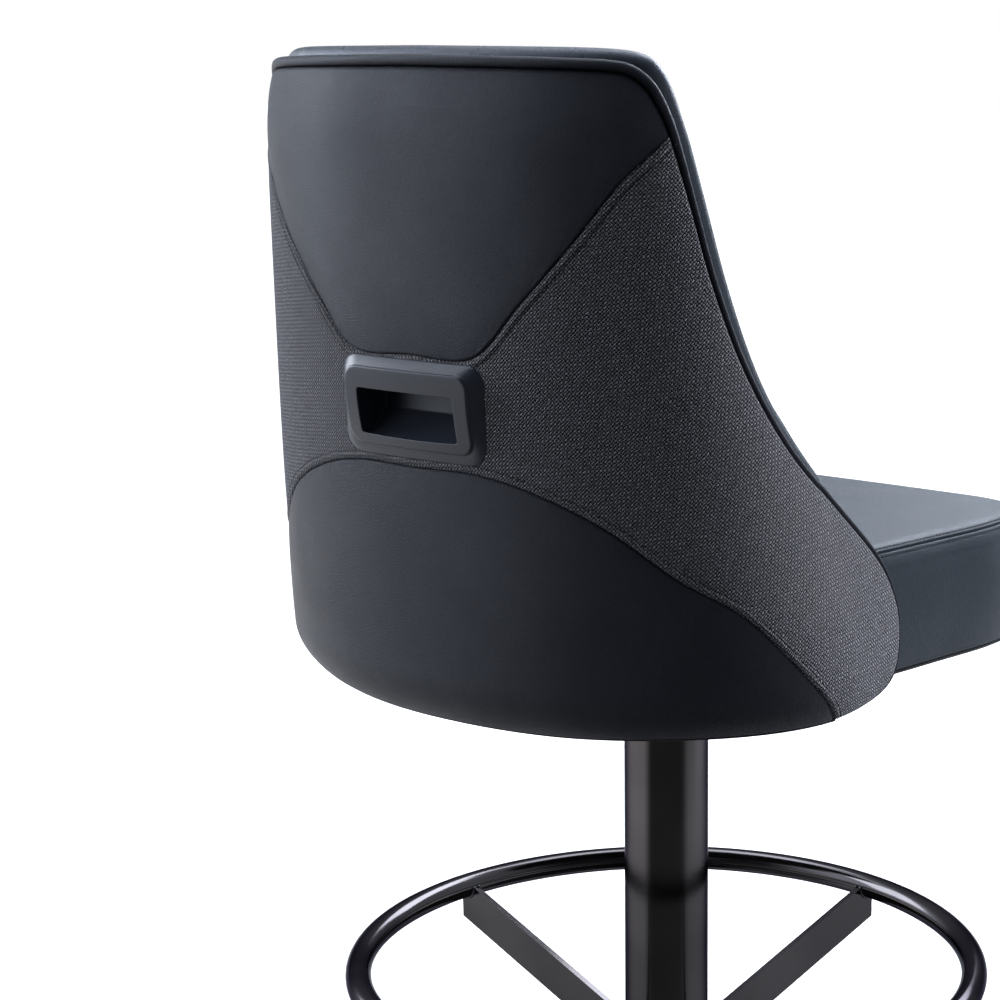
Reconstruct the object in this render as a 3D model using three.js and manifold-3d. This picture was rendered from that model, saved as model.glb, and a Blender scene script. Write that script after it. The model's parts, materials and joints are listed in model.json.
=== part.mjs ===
// A swivel gaming stool: a weighted round base, a steel column with a spoked foot ring, a swivel
// bearing in the column's head, an upholstered seat, and a shell back with wings and a grab handle.
// Millimetres, +Z up, the seat faces -Y, and the origin is on the floor under the column's axis.
import * as THREE from "three";
import { mergeVertices } from "three/addons/utils/BufferGeometryUtils.js";
import Module from "manifold-3d";

const wasm = await Module();
wasm.setup();

// Fits that every piece shares
const REST_GAP = 0.3; // between two pieces that touch
const RUNNING_GAP = 0.06; // radial, between the spindle and its bushes
const SCREW_GAP = 0.4; // radial, round a bolt or screw
const OVERRUN = 3; // how far a cutting shape passes the face that it opens
const MERGE_DISTANCE = 0.001; // vertices closer than this are one

// How finely round things are drawn
const ROUND_SEGMENTS = 30;
const BEARING_SEGMENTS = 20;
const SCREW_SEGMENTS = 8;
const RING_SEGMENTS = 52;
const TUBE_SIDES = 8;
const CORNER_STEPS = 4;
const COVER_DOME_STEPS = 5;
const POCKET_FLOOR_STEPS = 5;
const SEAM_STEPS = 24;
const WELT_STEPS = 68;
const BINDING_STEPS = 28;
const CORD_SIDES = 6;
const BISECTION_STEPS = 24;

// Base: rubber floor pad, cast weight, spun cover
const PAD_RADIUS = 255;
const PAD_THICKNESS = 3;
const WEIGHT_RADIUS = 258;
const WEIGHT_THICKNESS = 14;
const COVER_RADIUS = 270;
const COVER_SHEET = 1.6;
const COVER_FLOOR_GAP = 2;
const COVER_RIM_HEIGHT = 10;
const COVER_SHOULDER_HEIGHT = 21;
const COVER_NECK_HEIGHT = 62;
const NECK_RING_HEIGHT = 9;
const NECK_RING_WALL = 4.5;

// Column and its foot flange
const COLUMN_RADIUS = 38.1;
const COLUMN_WALL = 3;
const FLANGE_RADIUS = 75;
const FLANGE_THICKNESS = 8;
const BASE_BOLT_COUNT = 4;
const BASE_BOLT_CIRCLE_RADIUS = 57;
const BASE_BOLT_RADIUS = 5;
const BASE_BOLT_HEAD_RADIUS = 9;
const BASE_BOLT_HEAD_HEIGHT = 6.4;
const BASE_BOLT_LENGTH = 17;

// Foot ring
const FOOT_RING_HEIGHT = 280;
const FOOT_RING_RADIUS = 281;
const FOOT_RING_TUBE_RADIUS = 11.6;
const SPOKE_COUNT = 4;
const SPOKE_TURN = -8; // degrees from +X to the first spoke
const SPOKE_THICKNESS = 6;
const SPOKE_HEIGHT = 45;
const SPOKE_DROP = 70; // how much lower the spoke's top edge is at the hub than at the ring
const SPOKE_TOE_HEIGHT = 12; // height of the toe that passes under the ring tube
const HUB_WALL = 6.5;
const HUB_BOTTOM = 158;
const HUB_HEIGHT = 62;
const SET_SCREW_COUNT = 2;
const SET_SCREW_RADIUS = 4;
const SET_SCREW_PROUD = 1.2;

// Swivel bearing
const SWIVEL_LEVEL = 566.7; // top end of the column
const HOUSING_DEPTH = 122;
const HOUSING_FLANGE_THICKNESS = 6;
const SPINDLE_RADIUS = 15;
const BUSH_WALL = 5;
const BUSH_LENGTH = 30;
const RACE_THICKNESS = 4;
const RACE_WIDTH = 17;
const CAGE_THICKNESS = 4.2;
const CAGE_INSET = 2.5;
const SPINDLE_TAIL = 14; // how far the spindle comes out under the housing
const CLIP_THICKNESS = 2.4;
const CLIP_GROOVE_DEPTH = 2.5;
const CLIP_WIDTH = 6;
const TAIL_WASHER_THICKNESS = 2.5;
const SWIVEL_PLATE_SIDE = 190;
const SWIVEL_PLATE_CORNER = 18;
const SWIVEL_PLATE_THICKNESS = 6;
const SEAT_BOLT_OFFSET = 75;
const SEAT_BOLT_RADIUS = 4;
const SEAT_BOLT_HEAD_RADIUS = 7.2;
const SEAT_BOLT_HEAD_HEIGHT = 5.3;
const SEAT_BOLT_LENGTH = 24;
const TEE_NUT_BARREL_WALL = 1.4;
const TEE_NUT_BARREL_LENGTH = 9;
const TEE_NUT_FLANGE_RADIUS = 11;
const TEE_NUT_FLANGE_THICKNESS = 1.6;

// Seat
const PAN_THICKNESS = 4;
const PAN_INSET = 3;
const BOARD_THICKNESS = 15;
const SEAT_SKIRT = 9; // upholstery round the board's edge
const SEAT_FRONT = 228; // front of the seat ahead of the column's axis
const SEAT_REAR_GAP = 45.7; // from the shell's plan at its foot in to the seat's rear
const SEAT_SIDE_GAP = 21.5; // and in to the seat's side
const SEAT_SIDE_HEIGHT = 105;
const SEAT_CROWN = 10;
const SEAT_SIDE_BULGE = 3;
const SEAT_OUTLINE_POINTS = 52;

// Back shell: its rim and crest, and its plan at three heights that are measured from the rim, each
// with the distance of its centre behind the column's axis, its half width, the depth of its round
// corner, and how square that corner is
const RIM_DROP = 20.5; // from the seat board's underside down to the rim at its centre
const SHELL_HEIGHT = 514.2; // from the rim up to the crest, at their centres
const LOW_DROP = 11.5;
const LOW_BACK = 311.7;
const LOW_HALF_WIDTH = 287.5;
const LOW_CORNER_DEPTH = 214.5;
const LOW_SQUARENESS = 2;
const MID_RISE = 243.5;
const MID_BACK = 323.5;
const MID_HALF_WIDTH = 251;
const MID_CORNER_DEPTH = 172;
const MID_SQUARENESS = 2.35;
const HIGH_RISE = 509.5;
const HIGH_BACK = 335.7;
const HIGH_HALF_WIDTH = 217.8;
const HIGH_CORNER_DEPTH = 113.8;
const HIGH_SQUARENESS = 2.32;
const WING_REACH = 400; // length of wall that one unit of girth past the corner covers
const WING_FLARE = 0.03; // how much a wing spreads for each millimetre it runs forward
const TUCK = 33.7; // how far the wall curls in at its foot
const TUCK_HEIGHT = 51.2;
const SKIN_THICKNESS = 2.5;
const SHELL_THICKNESS = 10;
const LINING_THICKNESS = 5;
const SEAM_WIDTH = 0.8;
const WELT_RADIUS = 4.2;
const BINDING_RADIUS = 1.6;
const CORD_GAP = 1.2; // between a cord and the edge it follows
const SHEET_COLUMNS = 24;
const SHEET_ROWS = 12;
const ROW_CROWDING = 0.6; // how far the rows crowd towards the foot, where the wall curls in
const PROBE_SHARE = 0.002; // step that finds the wall's slope

// Inner back cushion
const BACK_CUSHION_THICKNESS = 48;
const BACK_CUSHION_LUMBAR = 16; // extra fullness low down
const BACK_CUSHION_EDGE = 20; // thickness of its border
const BACK_CUSHION_REST = 1.2; // between the cushion and the lining
const BACK_CUSHION_ROWS = 12;
const BACK_CUSHION_SEAT_GAP = 1;

// Grab handle in the middle of the back
const HANDLE_RISE = 250.5; // from the shell's rim to the mouth's middle
const HANDLE_MOUTH_WIDTH = 98;
const HANDLE_MOUTH_HEIGHT = 36;
const BEZEL_FACE_WIDTH = 124;
const BEZEL_FACE_HEIGHT = 62;
const BEZEL_BASE_WIDTH = 144;
const BEZEL_BASE_HEIGHT = 78;
const BEZEL_CORNER = 14;
const BEZEL_RISE = 9; // face ahead of the fabric
const BEZEL_FACE_LIFT = 4; // face's middle above the mouth's middle
const POCKET_WALL = 2.5;
const POCKET_DEPTH = 36;
const POCKET_LIP = 7; // depth of the grip lip over the mouth
const POCKET_HEADROOM = 9; // how far the hollow rises behind the lip
const HANDLE_SCREW_SPREAD = 60;
const HANDLE_SCREW_RADIUS = 2;
const HANDLE_SCREW_HEAD_RADIUS = 4;
const HANDLE_SCREW_HEAD_HEIGHT = 2.6;
const HANDLE_SCREW_BITE = 7;

// Brackets that carry the back on the seat board
const BRACKET_SPREAD = 92; // from the centre to each bracket's middle
const BRACKET_WIDTH = 44;
const BRACKET_PLATE = 5.7;
const BRACKET_LEG_HEIGHT = 88;
const BRACKET_FOOT_BOLT_INSET = 45; // from the seat's rear to the bolt in the foot
const BRACKET_FOOT_END = 20; // from that bolt to the foot's front end
const BRACKET_LEG_BOLT_RISE = 58; // from the foot to the bolt in the leg
const BRACKET_BOLT_RADIUS = 4;
const BRACKET_BOLT_HEAD_RADIUS = 7.2;
const BRACKET_BOLT_HEAD_HEIGHT = 5;
const BRACKET_SPOT_FACE = 1.5; // depth of the flat cut into the leg for the bolt's head
const BRACKET_BOLT_COVER = 4; // shell left uncut beyond the leg bolt's end

// Levels of the stack, from the floor up
const weightBottom = PAD_THICKNESS + REST_GAP;
const weightTop = weightBottom + WEIGHT_THICKNESS;
const flangeBottom = weightTop + REST_GAP;
const flangeTop = flangeBottom + FLANGE_THICKNESS;
const columnBottom = flangeTop + REST_GAP;
const housingFlangeBottom = SWIVEL_LEVEL + REST_GAP;
const housingTop = housingFlangeBottom + HOUSING_FLANGE_THICKNESS;
const housingBottom = SWIVEL_LEVEL - HOUSING_DEPTH;
const lowerRaceBottom = housingTop + REST_GAP;
const cageBottom = lowerRaceBottom + RACE_THICKNESS + REST_GAP;
const upperRaceBottom = cageBottom + CAGE_THICKNESS + REST_GAP;
const plateBottom = upperRaceBottom + RACE_THICKNESS + REST_GAP;
const plateTop = plateBottom + SWIVEL_PLATE_THICKNESS;
const panBottom = plateTop + REST_GAP;
const panTop = panBottom + PAN_THICKNESS;
const seatBottom = panTop + REST_GAP;
const boardTop = seatBottom + BOARD_THICKNESS;
const seatHollowTop = boardTop + TEE_NUT_FLANGE_THICKNESS + REST_GAP * 2;
const seatSeam = seatBottom + SEAT_SIDE_HEIGHT;
const rimLevel = seatBottom - RIM_DROP;
const crestLevel = rimLevel + SHELL_HEIGHT;
const lowLevel = rimLevel - LOW_DROP;
const midLevel = rimLevel + MID_RISE;
const highLevel = rimLevel + HIGH_RISE;
const handleLevel = rimLevel + HANDLE_RISE;

// Places that the seat takes from the shell round it
const seatRear = LOW_BACK - SEAT_REAR_GAP;
const seatHalfWidth = LOW_HALF_WIDTH - SEAT_SIDE_GAP;

// Finishes
const finish = (color, roughness, metalness) =>
  new THREE.MeshStandardMaterial({ color, roughness, metalness });
const blackNickel = finish(0x1c1d20, 0.16, 1);
const darkSteel = finish(0x3a3c40, 0.42, 1);
const zincSteel = finish(0x8d9096, 0.38, 1);
const castIron = finish(0x2b2c2e, 0.7, 0.6);
const bronze = finish(0x8a6a3c, 0.4, 1);
const rubber = finish(0x151515, 0.85, 0);
const blackPlastic = finish(0x121214, 0.55, 0);
const charcoalPlastic = finish(0x32363b, 0.42, 0);
const plywood = finish(0xa8834f, 0.75, 0);
const slateLeather = finish(0x3d464e, 0.42, 0);
const blackLeather = finish(0x24272d, 0.45, 0);
const weave = finish(0x4b4c4e, 0.9, 0);

const stool = new THREE.Group();
const baseBody = new THREE.Group();
const seatBody = new THREE.Group();
stool.add(baseBody, seatBody);

// A closed geometry as a solid that can be joined and cut.
function toSolid(geometry) {
  const loose = geometry.index ? geometry.toNonIndexed() : geometry;
  const bare = new THREE.BufferGeometry();
  bare.setAttribute("position", loose.getAttribute("position"));
  const merged = mergeVertices(bare, MERGE_DISTANCE);
  const vertProperties = merged.getAttribute("position").array;
  const triVerts = new Uint32Array(merged.index.array);
  return new wasm.Manifold(new wasm.Mesh({ numProp: 3, vertProperties, triVerts }));
}

// A solid as a geometry that a mesh can show.
function toGeometry(solid) {
  const mesh = solid.getMesh();
  const geometry = new THREE.BufferGeometry();
  geometry.setAttribute("position", new THREE.BufferAttribute(mesh.vertProperties, mesh.numProp));
  geometry.setIndex(new THREE.BufferAttribute(mesh.triVerts, 1));
  geometry.computeVertexNormals();
  return geometry;
}

const cut = (geometry, ...tools) =>
  toGeometry(tools.reduce((solid, tool) => solid.subtract(toSolid(tool)), toSolid(geometry)));

function addPart(group, name, geometry, material) {
  const mesh = new THREE.Mesh(geometry, material);
  mesh.name = name;
  group.add(mesh);
  return mesh;
}

// Triangles over points that make one closed surface, turned so that it faces outwards.
function closedSurface(points, triangles) {
  const volume = triangles.reduce((sum, [a, b, c]) => {
    const cross = new THREE.Vector3().crossVectors(points[b], points[c]);
    return sum + points[a].dot(cross);
  }, 0);
  const order = volume < 0 ? triangles.map(([a, b, c]) => [a, c, b]) : triangles;
  const geometry = new THREE.BufferGeometry().setFromPoints(points);
  geometry.setIndex(order.flat());
  return geometry.toNonIndexed();
}

// A solid whose skin runs through closed rings of points, with a flat fan over each end.
function loft(rings) {
  const count = rings[0].length;
  const points = rings.flat();
  const middle = (ring) =>
    ring.reduce((sum, p) => sum.add(p), new THREE.Vector3()).divideScalar(count);
  points.push(middle(rings[0]), middle(rings[rings.length - 1]));
  const first = points.length - 2;
  const last = points.length - 1;
  const lastRing = (rings.length - 1) * count;
  const triangles = [];
  for (let i = 0; i < count; i++) {
    const next = (i + 1) % count;
    for (let r = 0; r < rings.length - 1; r++) {
      const low = r * count;
      const high = low + count;
      const [a, b, c, d] = [low + i, low + next, high + next, high + i];
      // Each four-sided patch is split along its shorter diagonal.
      if (points[a].distanceTo(points[c]) <= points[b].distanceTo(points[d]) + MERGE_DISTANCE)
        triangles.push([a, b, c], [a, c, d]);
      else triangles.push([a, b, d], [b, c, d]);
    }
    triangles.push([first, next, i], [last, lastRing + i, lastRing + next]);
  }
  return closedSurface(points, triangles);
}

// A solid between two sheets, each a grid of points with the same rows and columns.
function sheetSolid(outer, inner) {
  const rows = outer.length;
  const columns = outer[0].length;
  const points = [...outer.flat(), ...inner.flat()];
  const half = rows * columns;
  const at = (r, c) => r * columns + c;
  const triangles = [];
  const addQuad = (a, b, c, d) => triangles.push([a, b, c], [a, c, d]);
  for (let r = 0; r < rows - 1; r++) {
    for (let c = 0; c < columns - 1; c++) {
      const corners = [at(r, c), at(r, c + 1), at(r + 1, c + 1), at(r + 1, c)];
      // The diagonals of one half mirror those of the other.
      if (c >= (columns - 1) / 2) corners.push(corners.shift());
      const [a, b, d, e] = corners;
      addQuad(a, b, d, e);
      addQuad(half + a, half + e, half + d, half + b);
    }
  }
  const border = [];
  for (let c = 0; c < columns - 1; c++) border.push(at(0, c));
  for (let r = 0; r < rows - 1; r++) border.push(at(r, columns - 1));
  for (let c = columns - 1; c > 0; c--) border.push(at(rows - 1, c));
  for (let r = rows - 1; r > 0; r--) border.push(at(r, 0));
  border.forEach((p, i) => {
    const q = border[(i + 1) % border.length];
    addQuad(half + p, half + q, q, p);
  });
  return closedSurface(points, triangles);
}

// A level circle of points.
function circleRing(radius, level, count) {
  return Array.from({ length: count }, (_, i) => {
    const turn = (Math.PI * 2 * i) / count;
    return new THREE.Vector3(radius * Math.cos(turn), radius * Math.sin(turn), level);
  });
}

// A solid of revolution about Z, from [radius, height] pairs listed anticlockwise from the lowest.
function turned(profile, segments = ROUND_SEGMENTS) {
  const closed = [...profile, profile[0]].map(([r, z]) => new THREE.Vector2(r, z));
  return new THREE.LatheGeometry(closed, segments).rotateX(Math.PI / 2);
}

const disc = (radius, bottom, top) =>
  turned([
    [0, bottom],
    [radius, bottom],
    [radius, top],
    [0, top],
  ]);

const sleeve = (inner, outer, bottom, top, segments = ROUND_SEGMENTS) =>
  turned(
    [
      [inner, bottom],
      [outer, bottom],
      [outer, top],
      [inner, top],
    ],
    segments,
  );

// A screw with its bearing face at z = 0, its head above and its shank below.
function screwGeometry(headRadius, headHeight, shankRadius, shankLength, headSides) {
  const hexagon = (level) =>
    circleRing(headRadius, level, headSides).flatMap((p, i, ring) => {
      const steps = SCREW_SEGMENTS / headSides;
      const next = ring[(i + 1) % headSides];
      return Array.from({ length: steps }, (_, k) => p.clone().lerp(next, k / steps));
    });
  return loft([
    circleRing(shankRadius, -shankLength, SCREW_SEGMENTS),
    circleRing(shankRadius, 0, SCREW_SEGMENTS),
    hexagon(0),
    hexagon(headHeight),
  ]);
}

// A round cutter along Z for a screw's hole.
const drill = (radius, bottom, top) =>
  loft([circleRing(radius, bottom, SCREW_SEGMENTS), circleRing(radius, top, SCREW_SEGMENTS)]);

// A rectangle with round corners, in the XY plane about the origin.
function roundRectangle(width, height, corner) {
  const [x, y] = [width / 2 - corner, height / 2 - corner];
  const shape = new THREE.Shape();
  shape.absarc(x, y, corner, 0, Math.PI / 2);
  shape.absarc(-x, y, corner, Math.PI / 2, Math.PI);
  shape.absarc(-x, -y, corner, Math.PI, Math.PI * 1.5);
  shape.absarc(x, -y, corner, Math.PI * 1.5, Math.PI * 2);
  return shape;
}

function prism(shape, bottom, top) {
  const options = { depth: top - bottom, bevelEnabled: false, curveSegments: CORNER_STEPS };
  return new THREE.ExtrudeGeometry(shape, options).translate(0, 0, bottom);
}

// An outline in the YZ plane, given as [y, z] pairs, drawn out along X about x = 0.
function crossPrism(outline, width) {
  const shape = new THREE.Shape(outline.map(([y, z]) => new THREE.Vector2(y, z)));
  const solid = new THREE.ExtrudeGeometry(shape, { depth: width, bevelEnabled: false });
  const turn = new THREE.Matrix4().makeBasis(
    new THREE.Vector3(0, 1, 0),
    new THREE.Vector3(0, 0, 1),
    new THREE.Vector3(1, 0, 0),
  );
  return solid.applyMatrix4(turn).translate(-width / 2, 0, 0);
}

function box(width, depth, height, x, y, z) {
  return new THREE.BoxGeometry(width, depth, height).translate(x, y, z);
}

// Base

addPart(baseBody, "floor_pad", disc(PAD_RADIUS, 0, PAD_THICKNESS), rubber);

const baseBoltPlaces = Array.from({ length: BASE_BOLT_COUNT }, (_, i) => {
  const turn = (Math.PI * 2 * (i + 0.5)) / BASE_BOLT_COUNT;
  return [BASE_BOLT_CIRCLE_RADIUS * Math.cos(turn), BASE_BOLT_CIRCLE_RADIUS * Math.sin(turn)];
});
const baseBoltHoles = baseBoltPlaces.map(([x, y]) =>
  drill(BASE_BOLT_RADIUS + SCREW_GAP, weightBottom - OVERRUN, flangeTop + OVERRUN).translate(x, y, 0),
);

addPart(
  baseBody,
  "base_weight",
  cut(disc(WEIGHT_RADIUS, weightBottom, weightTop), ...baseBoltHoles),
  castIron,
);

// The cover rises from its rim in a low dome and sweeps up into a neck round the column.
function coverProfile() {
  const neckRadius = COLUMN_RADIUS + REST_GAP + COVER_SHEET;
  const outside = new THREE.CubicBezierCurve(
    new THREE.Vector2(COVER_RADIUS - COVER_RIM_HEIGHT, COVER_SHOULDER_HEIGHT),
    new THREE.Vector2(COVER_RADIUS * 0.45, COVER_SHOULDER_HEIGHT + COVER_NECK_HEIGHT * 0.22),
    new THREE.Vector2(neckRadius * 1.35, COVER_SHOULDER_HEIGHT + COVER_NECK_HEIGHT * 0.28),
    new THREE.Vector2(neckRadius, COVER_NECK_HEIGHT),
  );
  const dome = outside.getPoints(COVER_DOME_STEPS).map((p) => [p.x, p.y]);
  const domeInside = dome.map(([r, z], i) => {
    const tangent = outside.getTangent(i / COVER_DOME_STEPS);
    return [r + tangent.y * -COVER_SHEET, z + tangent.x * COVER_SHEET];
  });
  const rimInner = COVER_RADIUS - COVER_SHEET;
  return [
    [rimInner, COVER_FLOOR_GAP],
    [COVER_RADIUS, COVER_FLOOR_GAP],
    [COVER_RADIUS, COVER_SHOULDER_HEIGHT - COVER_RIM_HEIGHT / 2],
    [COVER_RADIUS - COVER_RIM_HEIGHT / 3, COVER_SHOULDER_HEIGHT - COVER_RIM_HEIGHT / 8],
    ...dome,
    ...domeInside.reverse(),
    [rimInner - COVER_RIM_HEIGHT / 3, COVER_SHOULDER_HEIGHT - COVER_RIM_HEIGHT / 8 - COVER_SHEET],
    [rimInner, COVER_SHOULDER_HEIGHT - COVER_RIM_HEIGHT / 2 - COVER_SHEET / 2],
  ];
}
addPart(baseBody, "base_cover", turned(coverProfile()), blackNickel);

const neckRingBottom = COVER_NECK_HEIGHT + REST_GAP;
addPart(
  baseBody,
  "base_neck_ring",
  sleeve(
    COLUMN_RADIUS + REST_GAP,
    COLUMN_RADIUS + REST_GAP + NECK_RING_WALL,
    neckRingBottom,
    neckRingBottom + NECK_RING_HEIGHT,
  ),
  blackNickel,
);

addPart(
  baseBody,
  "column_flange",
  cut(disc(FLANGE_RADIUS, flangeBottom, flangeTop), ...baseBoltHoles),
  darkSteel,
);

const baseBolt = screwGeometry(
  BASE_BOLT_HEAD_RADIUS,
  BASE_BOLT_HEAD_HEIGHT,
  BASE_BOLT_RADIUS,
  BASE_BOLT_LENGTH,
  SCREW_SEGMENTS,
);
baseBoltPlaces.forEach(([x, y], i) => {
  const bolt = addPart(baseBody, `base_bolt_${i + 1}`, baseBolt, zincSteel);
  bolt.position.set(x, y, flangeTop + REST_GAP);
});

addPart(
  baseBody,
  "column_tube",
  sleeve(COLUMN_RADIUS - COLUMN_WALL, COLUMN_RADIUS, columnBottom, SWIVEL_LEVEL),
  blackNickel,
);

// Foot ring, its four flat spokes on edge, and the hub that clamps them to the column

const torus = (tubeRadius) =>
  new THREE.TorusGeometry(FOOT_RING_RADIUS, tubeRadius, TUBE_SIDES, RING_SEGMENTS).translate(
    0,
    0,
    FOOT_RING_HEIGHT,
  );
addPart(baseBody, "foot_ring", torus(FOOT_RING_TUBE_RADIUS), blackNickel);

const hubBore = COLUMN_RADIUS + REST_GAP;
const hubRadius = hubBore + HUB_WALL;
const spokeTurn = THREE.MathUtils.degToRad(SPOKE_TURN);
const spokeStep = (Math.PI * 2) / SPOKE_COUNT;

// A spoke's side view, from the hub out to its toe under the ring tube.
function spokeOutline() {
  const ringInner = FOOT_RING_RADIUS - FOOT_RING_TUBE_RADIUS;
  const root = hubRadius + REST_GAP;
  const slope = SPOKE_DROP / (ringInner - root);
  const rootTop = FOOT_RING_HEIGHT - SPOKE_DROP;
  const tubeBottom = FOOT_RING_HEIGHT - FOOT_RING_TUBE_RADIUS;
  const toeBottom = tubeBottom - SPOKE_TOE_HEIGHT;
  const heel = ringInner - SPOKE_THICKNESS;
  return [
    [root, rootTop - SPOKE_HEIGHT],
    [heel, rootTop - SPOKE_HEIGHT + slope * (heel - root)],
    [FOOT_RING_RADIUS + SPOKE_THICKNESS / 2, toeBottom],
    [FOOT_RING_RADIUS + SPOKE_THICKNESS, tubeBottom],
    [FOOT_RING_RADIUS, FOOT_RING_HEIGHT],
    [ringInner, FOOT_RING_HEIGHT],
    [root, rootTop],
  ];
}
const spokeBlank = crossPrism(spokeOutline(), SPOKE_THICKNESS).rotateZ(-Math.PI / 2);
for (let i = 0; i < SPOKE_COUNT; i++) {
  const blank = spokeBlank.clone().rotateZ(spokeTurn + i * spokeStep);
  const spoke = cut(blank, torus(FOOT_RING_TUBE_RADIUS + REST_GAP));
  addPart(baseBody, `foot_ring_spoke_${i + 1}`, spoke, blackNickel);
}

const setScrewLevel = HUB_BOTTOM + HUB_HEIGHT / 2;
const setScrewTurns = Array.from(
  { length: SET_SCREW_COUNT },
  (_, i) => spokeTurn + spokeStep * (i + 0.5),
);
const alongTurn = (geometry, turn) =>
  geometry.rotateY(Math.PI / 2).rotateZ(turn).translate(0, 0, setScrewLevel);
const setScrewHoles = setScrewTurns.map((turn) =>
  alongTurn(drill(SET_SCREW_RADIUS + SCREW_GAP, hubBore - OVERRUN, hubRadius + OVERRUN), turn),
);
addPart(
  baseBody,
  "foot_ring_hub",
  cut(sleeve(hubBore, hubRadius, HUB_BOTTOM, HUB_BOTTOM + HUB_HEIGHT), ...setScrewHoles),
  blackNickel,
);
setScrewTurns.forEach((turn, i) => {
  const screw = drill(SET_SCREW_RADIUS, hubBore, hubRadius + SET_SCREW_PROUD);
  addPart(baseBody, `hub_set_screw_${i + 1}`, alongTurn(screw, turn), darkSteel);
});

// Swivel bearing: a housing in the column's head, two bushes, a thrust bearing and the spindle

// The bore is drawn with flats, and is wide enough for the spindle's corners to pass them.
const bushBore = (SPINDLE_RADIUS + RUNNING_GAP) / Math.cos(Math.PI / BEARING_SEGMENTS);
const bushRadius = bushBore + BUSH_WALL;
const housingBore = bushRadius + REST_GAP;
const housingRadius = COLUMN_RADIUS - COLUMN_WALL - REST_GAP;
addPart(
  baseBody,
  "bearing_housing",
  turned([
    [housingBore, housingBottom],
    [housingRadius, housingBottom],
    [housingRadius, housingFlangeBottom],
    [COLUMN_RADIUS, housingFlangeBottom],
    [COLUMN_RADIUS, housingTop],
    [housingBore, housingTop],
  ]),
  darkSteel,
);
addPart(
  baseBody,
  "upper_bush",
  sleeve(bushBore, bushRadius, housingTop - BUSH_LENGTH, housingTop, BEARING_SEGMENTS),
  bronze,
);
addPart(
  baseBody,
  "lower_bush",
  sleeve(bushBore, bushRadius, housingBottom, housingBottom + BUSH_LENGTH, BEARING_SEGMENTS),
  bronze,
);

const raceBore = SPINDLE_RADIUS + REST_GAP;
const raceRadius = raceBore + RACE_WIDTH;
const raceTop = (bottom) => bottom + RACE_THICKNESS;
addPart(
  baseBody,
  "thrust_race_lower",
  sleeve(raceBore, raceRadius, lowerRaceBottom, raceTop(lowerRaceBottom), BEARING_SEGMENTS),
  zincSteel,
);
addPart(
  baseBody,
  "thrust_ball_cage",
  sleeve(raceBore + CAGE_INSET, raceRadius - CAGE_INSET, cageBottom, cageBottom + CAGE_THICKNESS, BEARING_SEGMENTS),
  bronze,
);
addPart(
  seatBody,
  "thrust_race_upper",
  sleeve(raceBore, raceRadius, upperRaceBottom, raceTop(upperRaceBottom), BEARING_SEGMENTS),
  zincSteel,
);

// The spindle hangs from the swivel plate; a washer and a spring clip keep it in the housing.
const washerTop = housingBottom - REST_GAP;
const washerBottom = washerTop - TAIL_WASHER_THICKNESS;
const clipTop = washerBottom - REST_GAP;
const clipBottom = clipTop - CLIP_THICKNESS;
const grooveRadius = SPINDLE_RADIUS - CLIP_GROOVE_DEPTH;
const spindleTop = plateBottom - REST_GAP;
addPart(
  seatBody,
  "spindle",
  turned(
    [
      [0, housingBottom - SPINDLE_TAIL],
      [SPINDLE_RADIUS, housingBottom - SPINDLE_TAIL],
      [SPINDLE_RADIUS, clipBottom - REST_GAP],
      [grooveRadius, clipBottom - REST_GAP],
      [grooveRadius, clipTop + REST_GAP],
      [SPINDLE_RADIUS, clipTop + REST_GAP],
      [SPINDLE_RADIUS, spindleTop],
      [0, spindleTop],
    ],
    BEARING_SEGMENTS,
  ),
  zincSteel,
);
addPart(
  seatBody,
  "spindle_clip",
  sleeve(grooveRadius + REST_GAP, grooveRadius + REST_GAP + CLIP_WIDTH, clipBottom, clipTop, BEARING_SEGMENTS),
  darkSteel,
);
addPart(
  seatBody,
  "spindle_washer",
  sleeve(raceBore, bushRadius + CLIP_WIDTH, washerBottom, washerTop, BEARING_SEGMENTS),
  zincSteel,
);

const seatBoltPlaces = [-1, 1].flatMap((sx) =>
  [-1, 1].map((sy) => [sx * SEAT_BOLT_OFFSET, sy * SEAT_BOLT_OFFSET]),
);
const seatBoltHoles = seatBoltPlaces.map(([x, y]) =>
  drill(SEAT_BOLT_RADIUS + SCREW_GAP, plateBottom - OVERRUN, boardTop + OVERRUN).translate(x, y, 0),
);
addPart(
  seatBody,
  "swivel_plate",
  cut(
    prism(
      roundRectangle(SWIVEL_PLATE_SIDE, SWIVEL_PLATE_SIDE, SWIVEL_PLATE_CORNER),
      plateBottom,
      plateTop,
    ),
    ...seatBoltHoles,
  ),
  darkSteel,
);
const seatBolt = screwGeometry(
  SEAT_BOLT_HEAD_RADIUS,
  SEAT_BOLT_HEAD_HEIGHT,
  SEAT_BOLT_RADIUS,
  SEAT_BOLT_LENGTH,
  SCREW_SEGMENTS,
).rotateX(Math.PI);
const teeNutBore = SEAT_BOLT_RADIUS + SCREW_GAP;
const teeNutRadius = teeNutBore + TEE_NUT_BARREL_WALL;
const teeNutBottom = boardTop - TEE_NUT_BARREL_LENGTH;
const teeNutFlange = boardTop + REST_GAP;
const teeNut = turned(
  [
    [teeNutBore, teeNutBottom],
    [teeNutRadius, teeNutBottom],
    [teeNutRadius, teeNutFlange],
    [TEE_NUT_FLANGE_RADIUS, teeNutFlange],
    [TEE_NUT_FLANGE_RADIUS, teeNutFlange + TEE_NUT_FLANGE_THICKNESS],
    [teeNutBore, teeNutFlange + TEE_NUT_FLANGE_THICKNESS],
  ],
  SCREW_SEGMENTS,
);
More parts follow.
